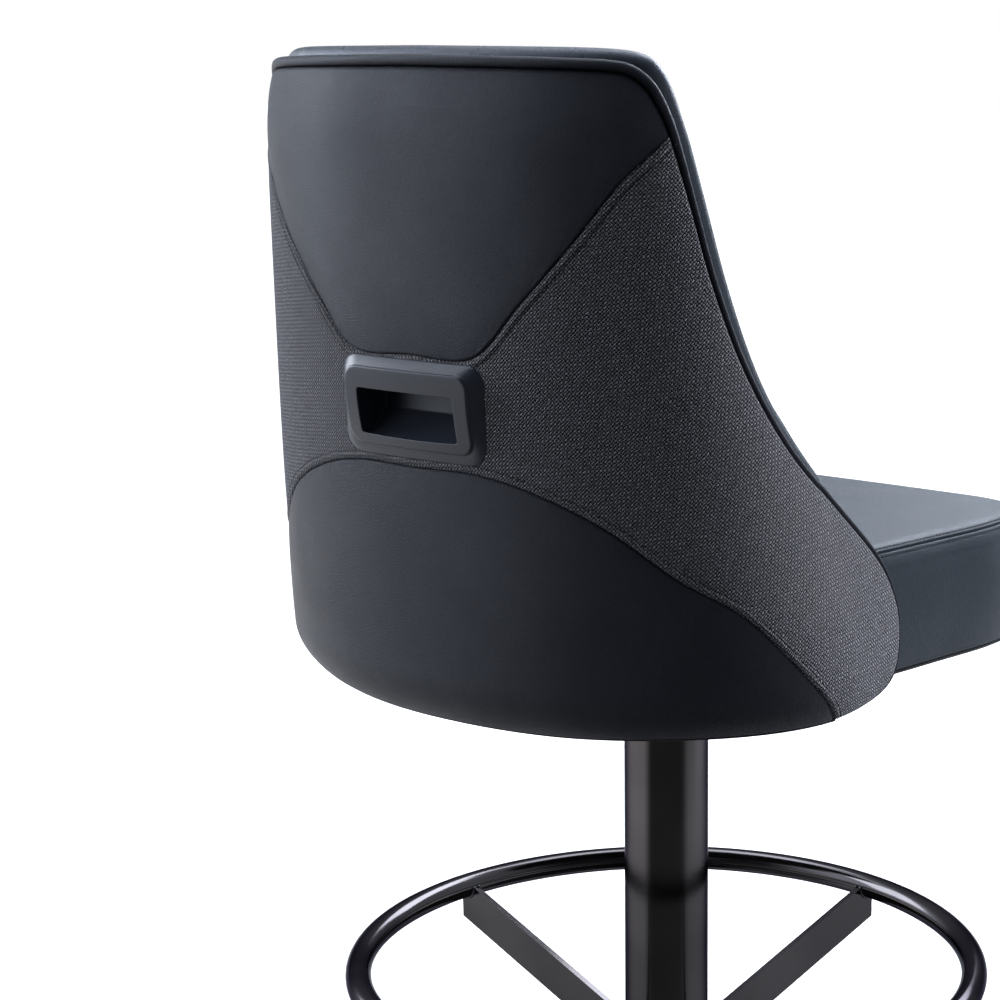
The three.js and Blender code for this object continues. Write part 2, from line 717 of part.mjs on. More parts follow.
seatBoltPlaces.forEach(([x, y], i) => {
  const bolt = addPart(seatBody, `seat_bolt_${i + 1}`, seatBolt, zincSteel);
  bolt.position.set(x, y, plateBottom - REST_GAP);
  const nut = addPart(seatBody, `tee_nut_${i + 1}`, teeNut, zincSteel);
  nut.position.set(x, y, 0);
});
const teeNutHoles = seatBoltPlaces.map(([x, y]) =>
  drill(teeNutRadius + SCREW_GAP, teeNutBottom - REST_GAP, boardTop + OVERRUN).translate(x, y, 0),
);

// Seat: one outline serves the pan, the board and the cushion

// Half of the seat's outline, from its front to its rear: share of the half width, and share of
// the way from front to rear.
const seatOutlineShares = [
  [0, 0],
  [0.56, 0.004],
  [0.8, 0.014],
  [0.92, 0.045],
  [0.98, 0.105],
  [1, 0.22],
  [0.968, 0.38],
  [0.93, 0.54],
  [0.89, 0.68],
  [0.81, 0.8],
  [0.64, 0.905],
  [0.34, 0.98],
  [0, 1],
];
const seatLength = SEAT_FRONT + seatRear;
function seatCurve() {
  const place = ([x, y]) =>
    new THREE.Vector3(x * seatHalfWidth, y * seatLength - SEAT_FRONT, 0);
  const mirrored = seatOutlineShares.slice(1, -1).reverse().map(([x, y]) => [-x, y]);
  const shares = [...seatOutlineShares, ...mirrored];
  return new THREE.CatmullRomCurve3(shares.map(place), true, "centripetal");
}
const seatEdge = seatCurve();
const seatEdgePoints = seatEdge.getSpacedPoints(SEAT_OUTLINE_POINTS).slice(0, -1);
const seatEdgeNormals = seatEdgePoints.map((_, i) => {
  const tangent = seatEdge.getTangentAt(i / SEAT_OUTLINE_POINTS);
  return new THREE.Vector3(tangent.y, -tangent.x, 0);
});

// The seat's outline moved in by a distance, at a height.
const seatRing = (inset, level) =>
  seatEdgePoints.map((p, i) =>
    p.clone().addScaledVector(seatEdgeNormals[i], -inset).setZ(level),
  );

const bracketFootBoltY = seatRear - BRACKET_FOOT_BOLT_INSET;

// Holes for the bolts that hold each bracket's foot to the board.
function bracketFootHoles() {
  return [-BRACKET_SPREAD, BRACKET_SPREAD].map((x) =>
    drill(BRACKET_BOLT_RADIUS + SCREW_GAP, plateBottom - OVERRUN, boardTop - REST_GAP).translate(
      x,
      bracketFootBoltY,
      0,
    ),
  );
}

addPart(
  seatBody,
  "seat_pan",
  cut(
    loft([
      seatRing(PAN_INSET + PAN_THICKNESS, panBottom),
      seatRing(PAN_INSET, panBottom + PAN_THICKNESS / 2),
      seatRing(PAN_INSET, panTop),
    ]),
    ...seatBoltHoles,
    ...bracketFootHoles(),
  ),
  blackPlastic,
);
addPart(
  seatBody,
  "seat_board",
  cut(
    loft([
      seatRing(SEAT_SKIRT + REST_GAP, seatBottom),
      seatRing(SEAT_SKIRT + REST_GAP, boardTop),
    ]),
    ...seatBoltHoles,
    ...teeNutHoles,
    ...bracketFootHoles(),
  ),
  plywood,
);

// The cushion's skin: up the inside of its skirt, round its lower edge, up its side, over the
// seam, and across the crown in rings that shrink towards the middle.
function seatCushion() {
  const round = SEAT_SIDE_BULGE;
  const crownShares = [0.82, 0.6, 0.36, 0.14];
  const middle = new THREE.Vector3(0, (seatRear - SEAT_FRONT) / 2, 0);
  const seamInset = SEAT_SIDE_BULGE * 4;
  const crownRing = (share) =>
    seatRing(seamInset, 0).map((p) => {
      const rise = SEAT_CROWN * (1 - share * share);
      return p.lerpVectors(middle, p, share).setZ(seatSeam + SEAT_SIDE_BULGE + rise);
    });
  return loft([
    seatRing(SEAT_SKIRT, seatHollowTop),
    seatRing(SEAT_SKIRT, seatBottom),
    seatRing(round, seatBottom),
    seatRing(0, seatBottom + round),
    seatRing(-SEAT_SIDE_BULGE, seatBottom + SEAT_SIDE_HEIGHT * 0.45),
    seatRing(-SEAT_SIDE_BULGE / 2, seatBottom + SEAT_SIDE_HEIGHT * 0.8),
    seatRing(SEAT_SIDE_BULGE, seatSeam - SEAT_SIDE_BULGE),
    seatRing(seamInset, seatSeam + SEAT_SIDE_BULGE),
    ...crownShares.map(crownRing),
  ]);
}
addPart(seatBody, "seat_cushion", seatCushion(), slateLeather);

// Back shell: the wall is a surface of girth and height. Girth runs from 0 at the centre of the
// back to 1 at the end of the round corner, and on along the straight wing.

// The value at a height of a size that is known at the three levels.
function atLevel(height, low, mid, high) {
  const fromLow = height - lowLevel;
  const fromMid = height - midLevel;
  const fromHigh = height - highLevel;
  const lowWeight = (fromMid * fromHigh) / ((lowLevel - midLevel) * (lowLevel - highLevel));
  const midWeight = (fromLow * fromHigh) / ((midLevel - lowLevel) * (midLevel - highLevel));
  const highWeight = (fromLow * fromMid) / ((highLevel - lowLevel) * (highLevel - midLevel));
  return low * lowWeight + mid * midWeight + high * highWeight;
}

// A point on the wall's outer face.
function wallPoint(girth, height) {
  const back = atLevel(height, LOW_BACK, MID_BACK, HIGH_BACK);
  const halfWidth = atLevel(height, LOW_HALF_WIDTH, MID_HALF_WIDTH, HIGH_HALF_WIDTH);
  const depth = atLevel(height, LOW_CORNER_DEPTH, MID_CORNER_DEPTH, HIGH_CORNER_DEPTH);
  const squareness = atLevel(height, LOW_SQUARENESS, MID_SQUARENESS, HIGH_SQUARENESS);
  const footShare = THREE.MathUtils.clamp(1 - (height - lowLevel) / TUCK_HEIGHT, 0, 1);
  const tuck = TUCK * footShare * footShare;
  const reach = Math.abs(girth);
  const turn = (Math.min(reach, 1) * Math.PI) / 2;
  const forward = Math.max(reach - 1, 0) * WING_REACH;
  const across = Math.sin(turn) ** (2 / squareness);
  const along = Math.max(Math.cos(turn), 0) ** (2 / squareness);
  const x = (halfWidth - tuck) * across + WING_FLARE * forward;
  const y = back - depth + (depth - tuck) * along - forward;
  return new THREE.Vector3(Math.sign(girth) * x, y, height);
}

// The wall's outward direction.
function wallNormal(girth, height) {
  const step = PROBE_SHARE * (crestLevel - rimLevel);
  const acrossWall = wallPoint(girth + PROBE_SHARE, height).sub(
    wallPoint(girth - PROBE_SHARE, height),
  );
  const upWall = wallPoint(girth, height + step).sub(wallPoint(girth, height - step));
  return upWall.cross(acrossWall).normalize();
}

// A point at a depth inside the wall's outer face.
const insetPoint = (girth, height, inset) =>
  wallPoint(girth, height).addScaledVector(wallNormal(girth, height), -inset);

const heightAt = (share) => THREE.MathUtils.lerp(rimLevel, crestLevel, share);

// Outlines on the wall, as [girth, share of the height from rim to crest].
const rimShares = [
  [0, 0],
  [0.26, 0],
  [0.51, 0.008],
  [0.78, 0.014],
  [0.9, 0.018],
  [1, 0.028],
  [1.066, 0.046],
];
const wingEdgeShares = [
  [1.066, 0.046],
  [1.116, 0.082],
  [1.147, 0.125],
  [1.155, 0.175],
  [1.13, 0.246],
  [1.038, 0.351],
  [0.94, 0.455],
  [0.862, 0.568],
  [0.802, 0.69],
  [0.764, 0.81],
  [0.741, 0.9],
  [0.724, 0.938],
  [0.69, 0.969],
];
const crestShares = [
  [0, 1],
  [0.25, 0.998],
  [0.42, 0.996],
  [0.565, 0.993],
  [0.635, 0.987],
  [0.69, 0.969],
];
const cushionFootShares = [
  [0, 0.272],
  [0.6, 0.272],
  [1.185, 0.272],
];
const cushionEdgeShares = [
  [1.185, 0.272],
  [1.112, 0.351],
  [1.025, 0.455],
  [0.962, 0.568],
  [0.928, 0.69],
  [0.915, 0.81],
  [0.908, 0.905],
  [0.892, 0.965],
  [0.84, 1.006],
];
const cushionCrestShares = [
  [0, 1.026],
  [0.4, 1.024],
  [0.62, 1.021],
  [0.75, 1.016],
  [0.84, 1.006],
];
const upperSeamShares = [
  [0, 0.577],
  [0.13, 0.581],
  [0.25, 0.664],
  [0.4, 0.7555],
  [0.55, 0.8385],
  [0.7, 0.892],
  [0.85, 0.94],
];
const lowerSeamShares = [
  [0, 0.4062],
  [0.12, 0.4062],
  [0.25, 0.385],
  [0.4, 0.3375],
  [0.55, 0.262],
  [0.7, 0.1968],
  [0.85, 0.068],
  [0.91, -0.008],
];

const wallCurve = (shares) =>
  new THREE.SplineCurve(shares.map(([girth, share]) => new THREE.Vector2(girth, share)));

// A grid of [girth, height] pairs over the patch of wall between a foot, an edge and a crest,
// mirrored about the centre. Rows run from foot to crest.
function wallPatch(footShares, edgeShares, topShares, columns, rows) {
  const [foot, edge, top] = [footShares, edgeShares, topShares].map(wallCurve);
  const centreFoot = foot.getPointAt(0);
  const centreTop = top.getPointAt(0);
  const cornerFoot = foot.getPointAt(1);
  const cornerTop = top.getPointAt(1);
  return Array.from({ length: rows + 1 }, (_, r) => {
    const t = THREE.MathUtils.lerp(r / rows, (r / rows) ** 2, ROW_CROWDING);
    return Array.from({ length: columns + 1 }, (_, c) => {
      const side = (2 * c) / columns - 1;
      const s = Math.abs(side);
      const blend = new THREE.Vector2()
        .addScaledVector(foot.getPointAt(s), 1 - t)
        .addScaledVector(top.getPointAt(s), t)
        .addScaledVector(centreFoot.clone().lerp(centreTop, t), 1 - s)
        .addScaledVector(edge.getPointAt(t), s)
        .addScaledVector(centreFoot.clone().lerp(centreTop, t), -(1 - s))
        .addScaledVector(cornerFoot.clone().lerp(cornerTop, t), -s);
      return [Math.sign(side) * blend.x, heightAt(blend.y)];
    });
  });
}
const shellPatch = wallPatch(rimShares, wingEdgeShares, crestShares, SHEET_COLUMNS, SHEET_ROWS);
const sheetAt = (patch, inset) => patch.map((row) => row.map(([g, h]) => insetPoint(g, h, inset)));
const wallSheet = (outerInset, innerInset) =>
  sheetSolid(sheetAt(shellPatch, outerInset), sheetAt(shellPatch, innerInset));

const shellOuter = SKIN_THICKNESS + REST_GAP;
const shellInner = shellOuter + SHELL_THICKNESS;
const liningOuter = shellInner + REST_GAP;
const liningInner = liningOuter + LINING_THICKNESS;
const cushionBack = liningInner + REST_GAP;

// Where a line along Y at x and a height meets the sheet at an inset: its y.
function wallDepthAt(x, height, inset) {
  let [low, high] = [0, 1];
  for (let i = 0; i < BISECTION_STEPS; i++) {
    const middle = (low + high) / 2;
    if (insetPoint(middle, height, inset).x < Math.abs(x)) low = middle;
    else high = middle;
  }
  return insetPoint(low, height, inset).y;
}

// Handle

const fabricDepth = wallDepthAt(0, handleLevel, 0);
const bezelFace = fabricDepth + BEZEL_RISE;
const pocketMouth = fabricDepth + BEZEL_RISE / 3;
const pocketEnd = bezelFace - POCKET_DEPTH;
const mouthBottom = handleLevel - HANDLE_MOUTH_HEIGHT / 2;
const mouthTop = handleLevel + HANDLE_MOUTH_HEIGHT / 2;

// A prism along Y through the back, with round corners, centred on a height.
function backPrism(width, height, corner, front, rear, level) {
  return prism(roundRectangle(width, height, corner), -rear, -front)
    .rotateX(Math.PI / 2)
    .translate(0, 0, level);
}

const pocketWidth = HANDLE_MOUTH_WIDTH + POCKET_WALL * 2;
const pocketTop = mouthTop + POCKET_HEADROOM + POCKET_WALL;
const pocketBottom = mouthBottom - POCKET_WALL;
const pocketOutline = (grow) => [
  [pocketEnd - grow, mouthBottom + POCKET_DEPTH / 3 - grow],
  [pocketEnd + POCKET_DEPTH / 3, pocketBottom - grow],
  [pocketMouth + grow, pocketBottom - grow],
  [pocketMouth + grow, mouthTop + POCKET_WALL + grow],
  [bezelFace - POCKET_LIP - POCKET_WALL * 1.5, pocketTop + grow],
  [pocketEnd - grow, pocketTop + grow],
];

// The pocket's hollow: its floor curves up towards the inside, and its roof rises behind the lip.
function pocketHollow() {
  const floor = new THREE.QuadraticBezierCurve(
    new THREE.Vector2(bezelFace + OVERRUN, mouthBottom),
    new THREE.Vector2(pocketEnd + POCKET_WALL + POCKET_DEPTH / 3, mouthBottom),
    new THREE.Vector2(pocketEnd + POCKET_WALL, handleLevel),
  );
  const outline = floor.getPoints(POCKET_FLOOR_STEPS).map((p) => [p.x, p.y]);
  outline.push(
    [pocketEnd + POCKET_WALL, pocketTop - POCKET_WALL],
    [bezelFace - POCKET_LIP - POCKET_WALL * 2, pocketTop - POCKET_WALL],
    [bezelFace - POCKET_LIP, mouthTop],
    [bezelFace + OVERRUN, mouthTop],
  );
  return crossPrism(outline, HANDLE_MOUTH_WIDTH);
}
addPart(
  seatBody,
  "handle_pocket",
  cut(crossPrism(pocketOutline(0), pocketWidth), pocketHollow()),
  charcoalPlastic,
);
const pocketRoom = (gap) => crossPrism(pocketOutline(gap), pocketWidth + gap * 2);

const handleScrewPlaces = [-HANDLE_SCREW_SPREAD, HANDLE_SCREW_SPREAD].map((x) => [
  x,
  wallDepthAt(x, handleLevel, shellInner) + SCREW_GAP,
]);
const handleScrewLength =
  wallDepthAt(HANDLE_SCREW_SPREAD, handleLevel, 0) + HANDLE_SCREW_BITE - handleScrewPlaces[0][1];
const handleScrew = screwGeometry(
  HANDLE_SCREW_HEAD_RADIUS,
  HANDLE_SCREW_HEAD_HEIGHT,
  HANDLE_SCREW_RADIUS,
  handleScrewLength,
  SCREW_SEGMENTS,
).rotateX(Math.PI / 2);

// A round cutter along Y.
const backDrill = (radius, front, rear, x, level) =>
  drill(radius, front, rear).rotateX(-Math.PI / 2).translate(x, 0, level);
const handleScrewHoles = handleScrewPlaces.flatMap(([x, y]) => [
  backDrill(
    HANDLE_SCREW_RADIUS + SCREW_GAP,
    y - OVERRUN,
    y + handleScrewLength + REST_GAP,
    x,
    handleLevel,
  ),
  backDrill(
    HANDLE_SCREW_HEAD_RADIUS + SCREW_GAP,
    y - LINING_THICKNESS * 2,
    y + REST_GAP,
    x,
    handleLevel,
  ),
]);
handleScrewPlaces.forEach(([x, y], i) => {
  const screw = addPart(seatBody, `handle_screw_${i + 1}`, handleScrew, zincSteel);
  screw.position.set(x, y, handleLevel);
});

// The bezel narrows from a base that follows the fabric to a flat face with a round edge.
function bezelBlank() {
  const ring = (width, height, corner, y) =>
    roundRectangle(width, height, corner)
      .getPoints(CORNER_STEPS)
      .slice(0, -1)
      .map((p) => new THREE.Vector3(p.x, y, p.y + handleLevel + BEZEL_FACE_LIFT));
  const edge = BEZEL_RISE / 5;
  const base = [BEZEL_BASE_WIDTH, BEZEL_BASE_HEIGHT, BEZEL_CORNER];
  return loft([
    ring(...base, fabricDepth - shellInner),
    ring(...base, fabricDepth),
    ring(BEZEL_FACE_WIDTH + edge, BEZEL_FACE_HEIGHT + edge, BEZEL_CORNER, bezelFace - edge),
    ring(BEZEL_FACE_WIDTH - edge, BEZEL_FACE_HEIGHT - edge, BEZEL_CORNER, bezelFace),
  ]);
}
const mouthCutter = backPrism(
  HANDLE_MOUTH_WIDTH,
  HANDLE_MOUTH_HEIGHT,
  POCKET_WALL,
  pocketEnd,
  bezelFace + OVERRUN,
  handleLevel,
);
addPart(
  seatBody,
  "handle_bezel",
  cut(
    bezelBlank(),
    wallSheet(-REST_GAP, cushionBack + OVERRUN),
    mouthCutter,
    pocketRoom(REST_GAP),
    ...handleScrewHoles,
  ),
  charcoalPlastic,
);

// Brackets: a foot bolted up under the seat board, and a leg that follows the back's lining

const bracketFootBottom = panBottom - REST_GAP - BRACKET_PLATE;
const bracketBoltLevel = bracketFootBottom + BRACKET_LEG_BOLT_RISE;
const bracketLegFace = cushionBack + BRACKET_PLATE;
const legBoltSeat =
  wallDepthAt(BRACKET_SPREAD, bracketBoltLevel, bracketLegFace) + BRACKET_SPOT_FACE;
const legBoltEnd = wallDepthAt(
  BRACKET_SPREAD,
  bracketBoltLevel,
  shellOuter + BRACKET_BOLT_COVER,
);
const bracketSides = [
  ["left", BRACKET_SPREAD],
  ["right", -BRACKET_SPREAD],
];
const bracketLegHole = (x) =>
  backDrill(
    BRACKET_BOLT_RADIUS + SCREW_GAP,
    legBoltSeat - OVERRUN,
    legBoltEnd + REST_GAP,
    x,
    bracketBoltLevel,
  );

function bracketGeometry(x) {
  const reach = BRACKET_FOOT_BOLT_INSET + BRACKET_FOOT_END;
  const zone = box(
    BRACKET_WIDTH,
    reach * 2,
    BRACKET_LEG_HEIGHT,
    x,
    seatRear,
    bracketFootBottom + BRACKET_LEG_HEIGHT / 2,
  );
  const leg = toSolid(wallSheet(cushionBack, bracketLegFace)).intersect(toSolid(zone));
  const foot = toSolid(
    box(
      BRACKET_WIDTH,
      reach * 2,
      BRACKET_PLATE,
      x,
      seatRear,
      bracketFootBottom + BRACKET_PLATE / 2,
    ),
  );
  const outside = wallSheet(cushionBack - reach * 2, cushionBack);
  const spotFace = backDrill(
    BRACKET_BOLT_HEAD_RADIUS + SCREW_GAP,
    legBoltSeat - reach,
    legBoltSeat,
    x,
    bracketBoltLevel,
  );
  return cut(
    toGeometry(leg.add(foot)),
    outside,
    wallSheet(shellInner, cushionBack + REST_GAP),
    wallSheet(shellInner, cushionBack + REST_GAP).translate(0, 0, -REST_GAP),
    spotFace,
    bracketLegHole(x),
    ...bracketFootHoles(),
  );
}
const bracketLegBolt = screwGeometry(
  BRACKET_BOLT_HEAD_RADIUS,
  BRACKET_BOLT_HEAD_HEIGHT,
  BRACKET_BOLT_RADIUS,
  legBoltEnd - legBoltSeat,
  SCREW_SEGMENTS,
).rotateX(Math.PI / 2);
const bracketFootBolt = screwGeometry(
  BRACKET_BOLT_HEAD_RADIUS,
  BRACKET_BOLT_HEAD_HEIGHT,
  BRACKET_BOLT_RADIUS,
  boardTop - REST_GAP * 2 - bracketFootBottom,
  SCREW_SEGMENTS,
).rotateX(Math.PI);
for (const [side, x] of bracketSides) {
  addPart(seatBody, `back_bracket_${side}`, bracketGeometry(x), darkSteel);
  const legBolt = addPart(seatBody, `bracket_leg_bolt_${side}`, bracketLegBolt, zincSteel);
  legBolt.position.set(x, legBoltSeat - REST_GAP, bracketBoltLevel);
  const footBolt = addPart(seatBody, `bracket_foot_bolt_${side}`, bracketFootBolt, zincSteel);
  footBolt.position.set(x, bracketFootBoltY, bracketFootBottom - REST_GAP);
}
const bracketLegHoles = bracketSides.map(([, x]) => bracketLegHole(x));

// Shell, lining and the three outer covers

const throughHoles = [pocketRoom(SCREW_GAP), ...handleScrewHoles];
addPart(
  seatBody,
  "back_shell",
  cut(wallSheet(shellOuter, shellInner), ...throughHoles, ...bracketLegHoles),
  plywood,
);
addPart(
  seatBody,
  "back_lining",
  cut(wallSheet(liningOuter, liningInner), ...throughHoles, ...bracketLegHoles),
  blackLeather,
);

// A thin wall that follows a seam across the back and parts the covers there.
function seamKnife(shares) {
  const half = wallCurve(shares).getSpacedPoints(SEAM_STEPS);
  const whole = [
    ...half.slice(1).reverse().map((p) => new THREE.Vector2(-p.x, p.y)),
    ...half,
  ];
  const places = whole.map((p) => wallPoint(p.x, heightAt(p.y)));
  return loft(
    whole.map((p, i) => {
      const normal = wallNormal(p.x, heightAt(p.y));
      const ahead = places[Math.min(i + 1, places.length - 1)];
      const behind = places[Math.max(i - 1, 0)];
      const across = ahead.clone().sub(behind).cross(normal).setLength(SEAM_WIDTH / 2);
      const out = normal.clone().multiplyScalar(SKIN_THICKNESS * 3);
      const inside = normal.clone().multiplyScalar(-SKIN_THICKNESS * 4);
      return [
        places[i].clone().add(across).add(out),
        places[i].clone().sub(across).add(out),
        places[i].clone().sub(across).add(inside),
        places[i].clone().add(across).add(inside),
      ];
    }),
  );
}
const covers = toSolid(
  cut(
    wallSheet(0, SKIN_THICKNESS),
    seamKnife(upperSeamShares),
    seamKnife(lowerSeamShares),
    ...throughHoles,
  ),
)
  .decompose()
  .map((solid) => ({ solid, height: solid.boundingBox().max[2] + solid.boundingBox().min[2] }))
  .sort((a, b) => a.height - b.height);
const coverNames = ["lower_leather_cover", "fabric_cover", "upper_leather_cover"];
const coverFinishes = [blackLeather, weave, blackLeather];
coverNames.forEach((name, i) => {
  addPart(seatBody, name, toGeometry(covers[i].solid), coverFinishes[i]);
});

// A cord of round section along a route on the wall, moved off it by its radius and a gap: upwards
// where side is 1, and downwards where it is -1.
function edgeCord(shares, radius, inset, side, steps, sides) {
  const half = shares.map(([girth, share]) => new THREE.Vector2(girth, share));
  const mirror = [...half].reverse().map((p) => new THREE.Vector2(-p.x, p.y));
  const joined = new THREE.SplineCurve([...mirror.slice(0, -1), ...half]);
  const route = joined.getSpacedPoints(steps);
  const places = route.map((p) => wallPoint(p.x, heightAt(p.y)));
  const centres = places.map((place, i) => {
    const normal = wallNormal(route[i].x, heightAt(route[i].y));
    const ahead = places[Math.min(i + 1, places.length - 1)];
    const behind = places[Math.max(i - 1, 0)];
    const upward = ahead.clone().sub(behind).cross(normal).normalize();
    return place
      .clone()
      .addScaledVector(upward, side * (radius + CORD_GAP))
      .addScaledVector(normal, -inset);
  });
  const path = new THREE.CatmullRomCurve3(centres);
  const section = new THREE.Shape(circleRing(radius, 0, sides).map((p) => new THREE.Vector2(p.x, p.y)));
  return new THREE.ExtrudeGeometry(section, { steps, bevelEnabled: false, extrudePath: path });
}
const weltShares = [
  ...crestShares,
  ...[...wingEdgeShares].reverse().slice(1),
  [1, 0.028],
  [0.94, 0.02],
];
addPart(
  seatBody,
  "edge_welt",
  edgeCord(weltShares, WELT_RADIUS, WELT_RADIUS, 1, WELT_STEPS, CORD_SIDES),
  slateLeather,
);
const bindingShares = rimShares.slice(0, 5);
addPart(
  seatBody,
  "rim_binding",
  edgeCord(bindingShares, BINDING_RADIUS, SKIN_THICKNESS, -1, BINDING_STEPS, CORD_SIDES),
  blackPlastic,
);

// Inner back cushion: thick in the middle, fuller at the lumbar, with a border that stands ahead
// of the shell's edge all round. Its foot rests on the seat.

function backCushion() {
  const lift = BACK_CUSHION_SEAT_GAP;
  const patch = wallPatch(
    cushionFootShares,
    cushionEdgeShares,
    cushionCrestShares,
    SHEET_COLUMNS,
    BACK_CUSHION_ROWS,
  );
  const rear = liningInner + BACK_CUSHION_REST;
  const rearSheet = patch.map((row) => row.map(([g, h]) => insetPoint(g, h + lift, rear)));
  const frontSheet = patch.map((row, r) =>
    row.map(([g, h], c) => {
      const up = r / BACK_CUSHION_ROWS;
      const side = Math.abs((2 * c) / SHEET_COLUMNS - 1);
      const edgeFall = (share) => Math.sqrt(Math.max(1 - share ** 8, 0));
      const fullness = edgeFall(side) * edgeFall(Math.abs(2 * up - 1));
      const lumbar = BACK_CUSHION_LUMBAR * Math.sin(Math.PI * Math.min(up * 1.4, 1)) * (1 - side);
      const depth =
        BACK_CUSHION_EDGE + (BACK_CUSHION_THICKNESS + lumbar - BACK_CUSHION_EDGE) * fullness;
      return insetPoint(g, h + lift, rear + depth);
    }),
  );
  return cut(sheetSolid(rearSheet, frontSheet), pocketRoom(SCREW_GAP), ...handleScrewHoles);
}
addPart(seatBody, "back_cushion", backCushion(), slateLeather);

export default stool;
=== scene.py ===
# %% [markdown]
# # A swivel gaming stool, dressed over its construction
# The construction model comes in as a fixed frame: every steel part, board and soft block is
# already at its real size and place. This lesson gives each surface that shows its real form and
# finish. Lengths are in metres, the seat faces -Y, and the floor is at z = 0.

# %% Load the frame
import json
import math
import bmesh
import bpy
import numpy as np
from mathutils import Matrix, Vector


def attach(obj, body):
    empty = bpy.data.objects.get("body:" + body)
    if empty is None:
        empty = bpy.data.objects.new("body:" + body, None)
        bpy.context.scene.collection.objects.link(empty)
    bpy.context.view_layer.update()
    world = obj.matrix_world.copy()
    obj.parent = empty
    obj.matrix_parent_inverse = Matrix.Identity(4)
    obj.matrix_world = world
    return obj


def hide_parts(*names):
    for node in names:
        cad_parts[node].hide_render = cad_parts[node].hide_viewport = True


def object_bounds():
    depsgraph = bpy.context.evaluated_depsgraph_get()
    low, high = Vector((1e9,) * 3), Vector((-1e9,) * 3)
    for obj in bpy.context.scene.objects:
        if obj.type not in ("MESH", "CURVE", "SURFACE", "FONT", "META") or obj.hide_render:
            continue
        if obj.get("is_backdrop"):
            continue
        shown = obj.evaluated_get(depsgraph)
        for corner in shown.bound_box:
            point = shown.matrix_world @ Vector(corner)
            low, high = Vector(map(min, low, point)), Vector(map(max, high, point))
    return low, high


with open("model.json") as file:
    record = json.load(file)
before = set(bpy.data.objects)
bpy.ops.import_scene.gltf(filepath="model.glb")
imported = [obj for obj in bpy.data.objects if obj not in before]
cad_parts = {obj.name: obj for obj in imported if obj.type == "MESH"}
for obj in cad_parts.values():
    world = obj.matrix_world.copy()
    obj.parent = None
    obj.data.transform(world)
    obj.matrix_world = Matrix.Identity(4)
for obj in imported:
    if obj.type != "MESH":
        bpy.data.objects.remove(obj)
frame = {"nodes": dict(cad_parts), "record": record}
cad_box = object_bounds()
print("frame:", len(frame["nodes"]), "nodes, box", [round(v, 4) for corner in cad_box for v in corner])

# %% [markdown]
# ## The camera
# The photograph was taken from behind and to the sitter's right, a little above the seat, with a
# long lens. The whole stool lies to one side of the picture's middle, so the lens is shifted
# sideways instead of being turned, which keeps the column upright.

# %% Camera
CAMERA_PLACE = Vector((-1.2606, 1.6545, 1.1100))
LOOK_ACROSS = Vector((0.6027, -0.7980, 0))
LOOK_DOWN = math.radians(10.88)
camera_data = bpy.data.cameras.new("camera")
camera_data.sensor_width = 36
camera_data.lens = 86.12
camera_data.shift_x = -0.176
camera = bpy.data.objects.new("camera", camera_data)
camera.location = CAMERA_PLACE
look = LOOK_ACROSS * math.cos(LOOK_DOWN) - Vector((0, 0, math.sin(LOOK_DOWN)))
camera.rotation_euler = look.to_track_quat("-Z", "Y").to_euler()
bpy.context.collection.objects.link(camera)
bpy.context.scene.camera = camera
print("camera looks along", [round(v, 3) for v in look])

# %% [markdown]
# ## Meshes from arrays
# Every new surface here is a grid of points worked out at once with numpy: a function of two
# parameters, or a profile carried along a path. These helpers join a grid's points with quads,
# turn the faces outwards, and hand the piece to the body that it rides on.

# %% Grids, pieces and bodies
def grid_faces(rows, columns, wrap_rows=False, wrap_columns=False):
    """Quads between neighbouring points of a grid that is stored row by row."""
    r, c = np.meshgrid(
        np.arange(rows if wrap_rows else rows - 1),
        np.arange(columns if wrap_columns else columns - 1),
        indexing="ij",
    )
    above, beside = (r + 1) % rows, (c + 1) % columns
    corners = [r * columns + c, r * columns + beside, above * columns + beside, above * columns + c]
    return np.stack(corners, axis=-1).reshape(-1, 4)


def outward_faces(points, faces, outward=None):
    """The faces, all turned round if they point inwards: against the outward directions on an open
    sheet, or by the sign of the enclosed volume on a closed one."""
    a, b, c = (points[faces[:, k]] for k in (0, 1, 2))
    normal = np.cross(b - a, c - a)
    reference = a - points.mean(axis=0) if outward is None else outward[faces[:, 0]]
    return faces if np.sum(normal * reference) >= 0 else faces[:, ::-1]


def new_piece(name, points, faces, outward=None, uv=None, weld=False):
    """A smooth mesh object at the origin, with its place in its points."""
    points = np.asarray(points, float).reshape(-1, 3)
    if outward is not None:
        outward = np.asarray(outward, float).reshape(-1, 3)
    faces = outward_faces(points, np.asarray(faces), outward)
    mesh = bpy.data.meshes.new(name)
    mesh.from_pydata(points.tolist(), [], faces.tolist())
    mesh.polygons.foreach_set("use_smooth", np.ones(len(mesh.polygons), bool))
    if uv is not None:
        corner = np.empty(len(mesh.loops), np.int32)
        mesh.loops.foreach_get("vertex_index", corner)
        layer = mesh.uv_layers.new(name="cloth")
        layer.data.foreach_set("uv", np.asarray(uv, float).reshape(-1, 2)[corner].ravel())
    if weld:
        work = bmesh.new()
        work.from_mesh(mesh)
        bmesh.ops.remove_doubles(work, verts=work.verts, dist=1e-6)
        work.to_mesh(mesh)
        work.free()
    piece = bpy.data.objects.new(name, mesh)
    bpy.context.collection.objects.link(piece)
    return piece


def fit(piece, body, finish, replaced=()):
    """Dresses a piece, lets it ride on its body, and hides the nodes that it stands for."""
    piece.data.materials.append(finish)
    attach(piece, body)
    if replaced:
        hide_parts(*replaced)
    print(f"{piece.name}: {len(piece.data.polygons)} faces")


# %% Tubes, turned profiles and paths
def unit(vectors):
    """Vectors of length 1 in the same directions."""
    return vectors / np.maximum(np.linalg.norm(vectors, axis=-1, keepdims=True), 1e-12)


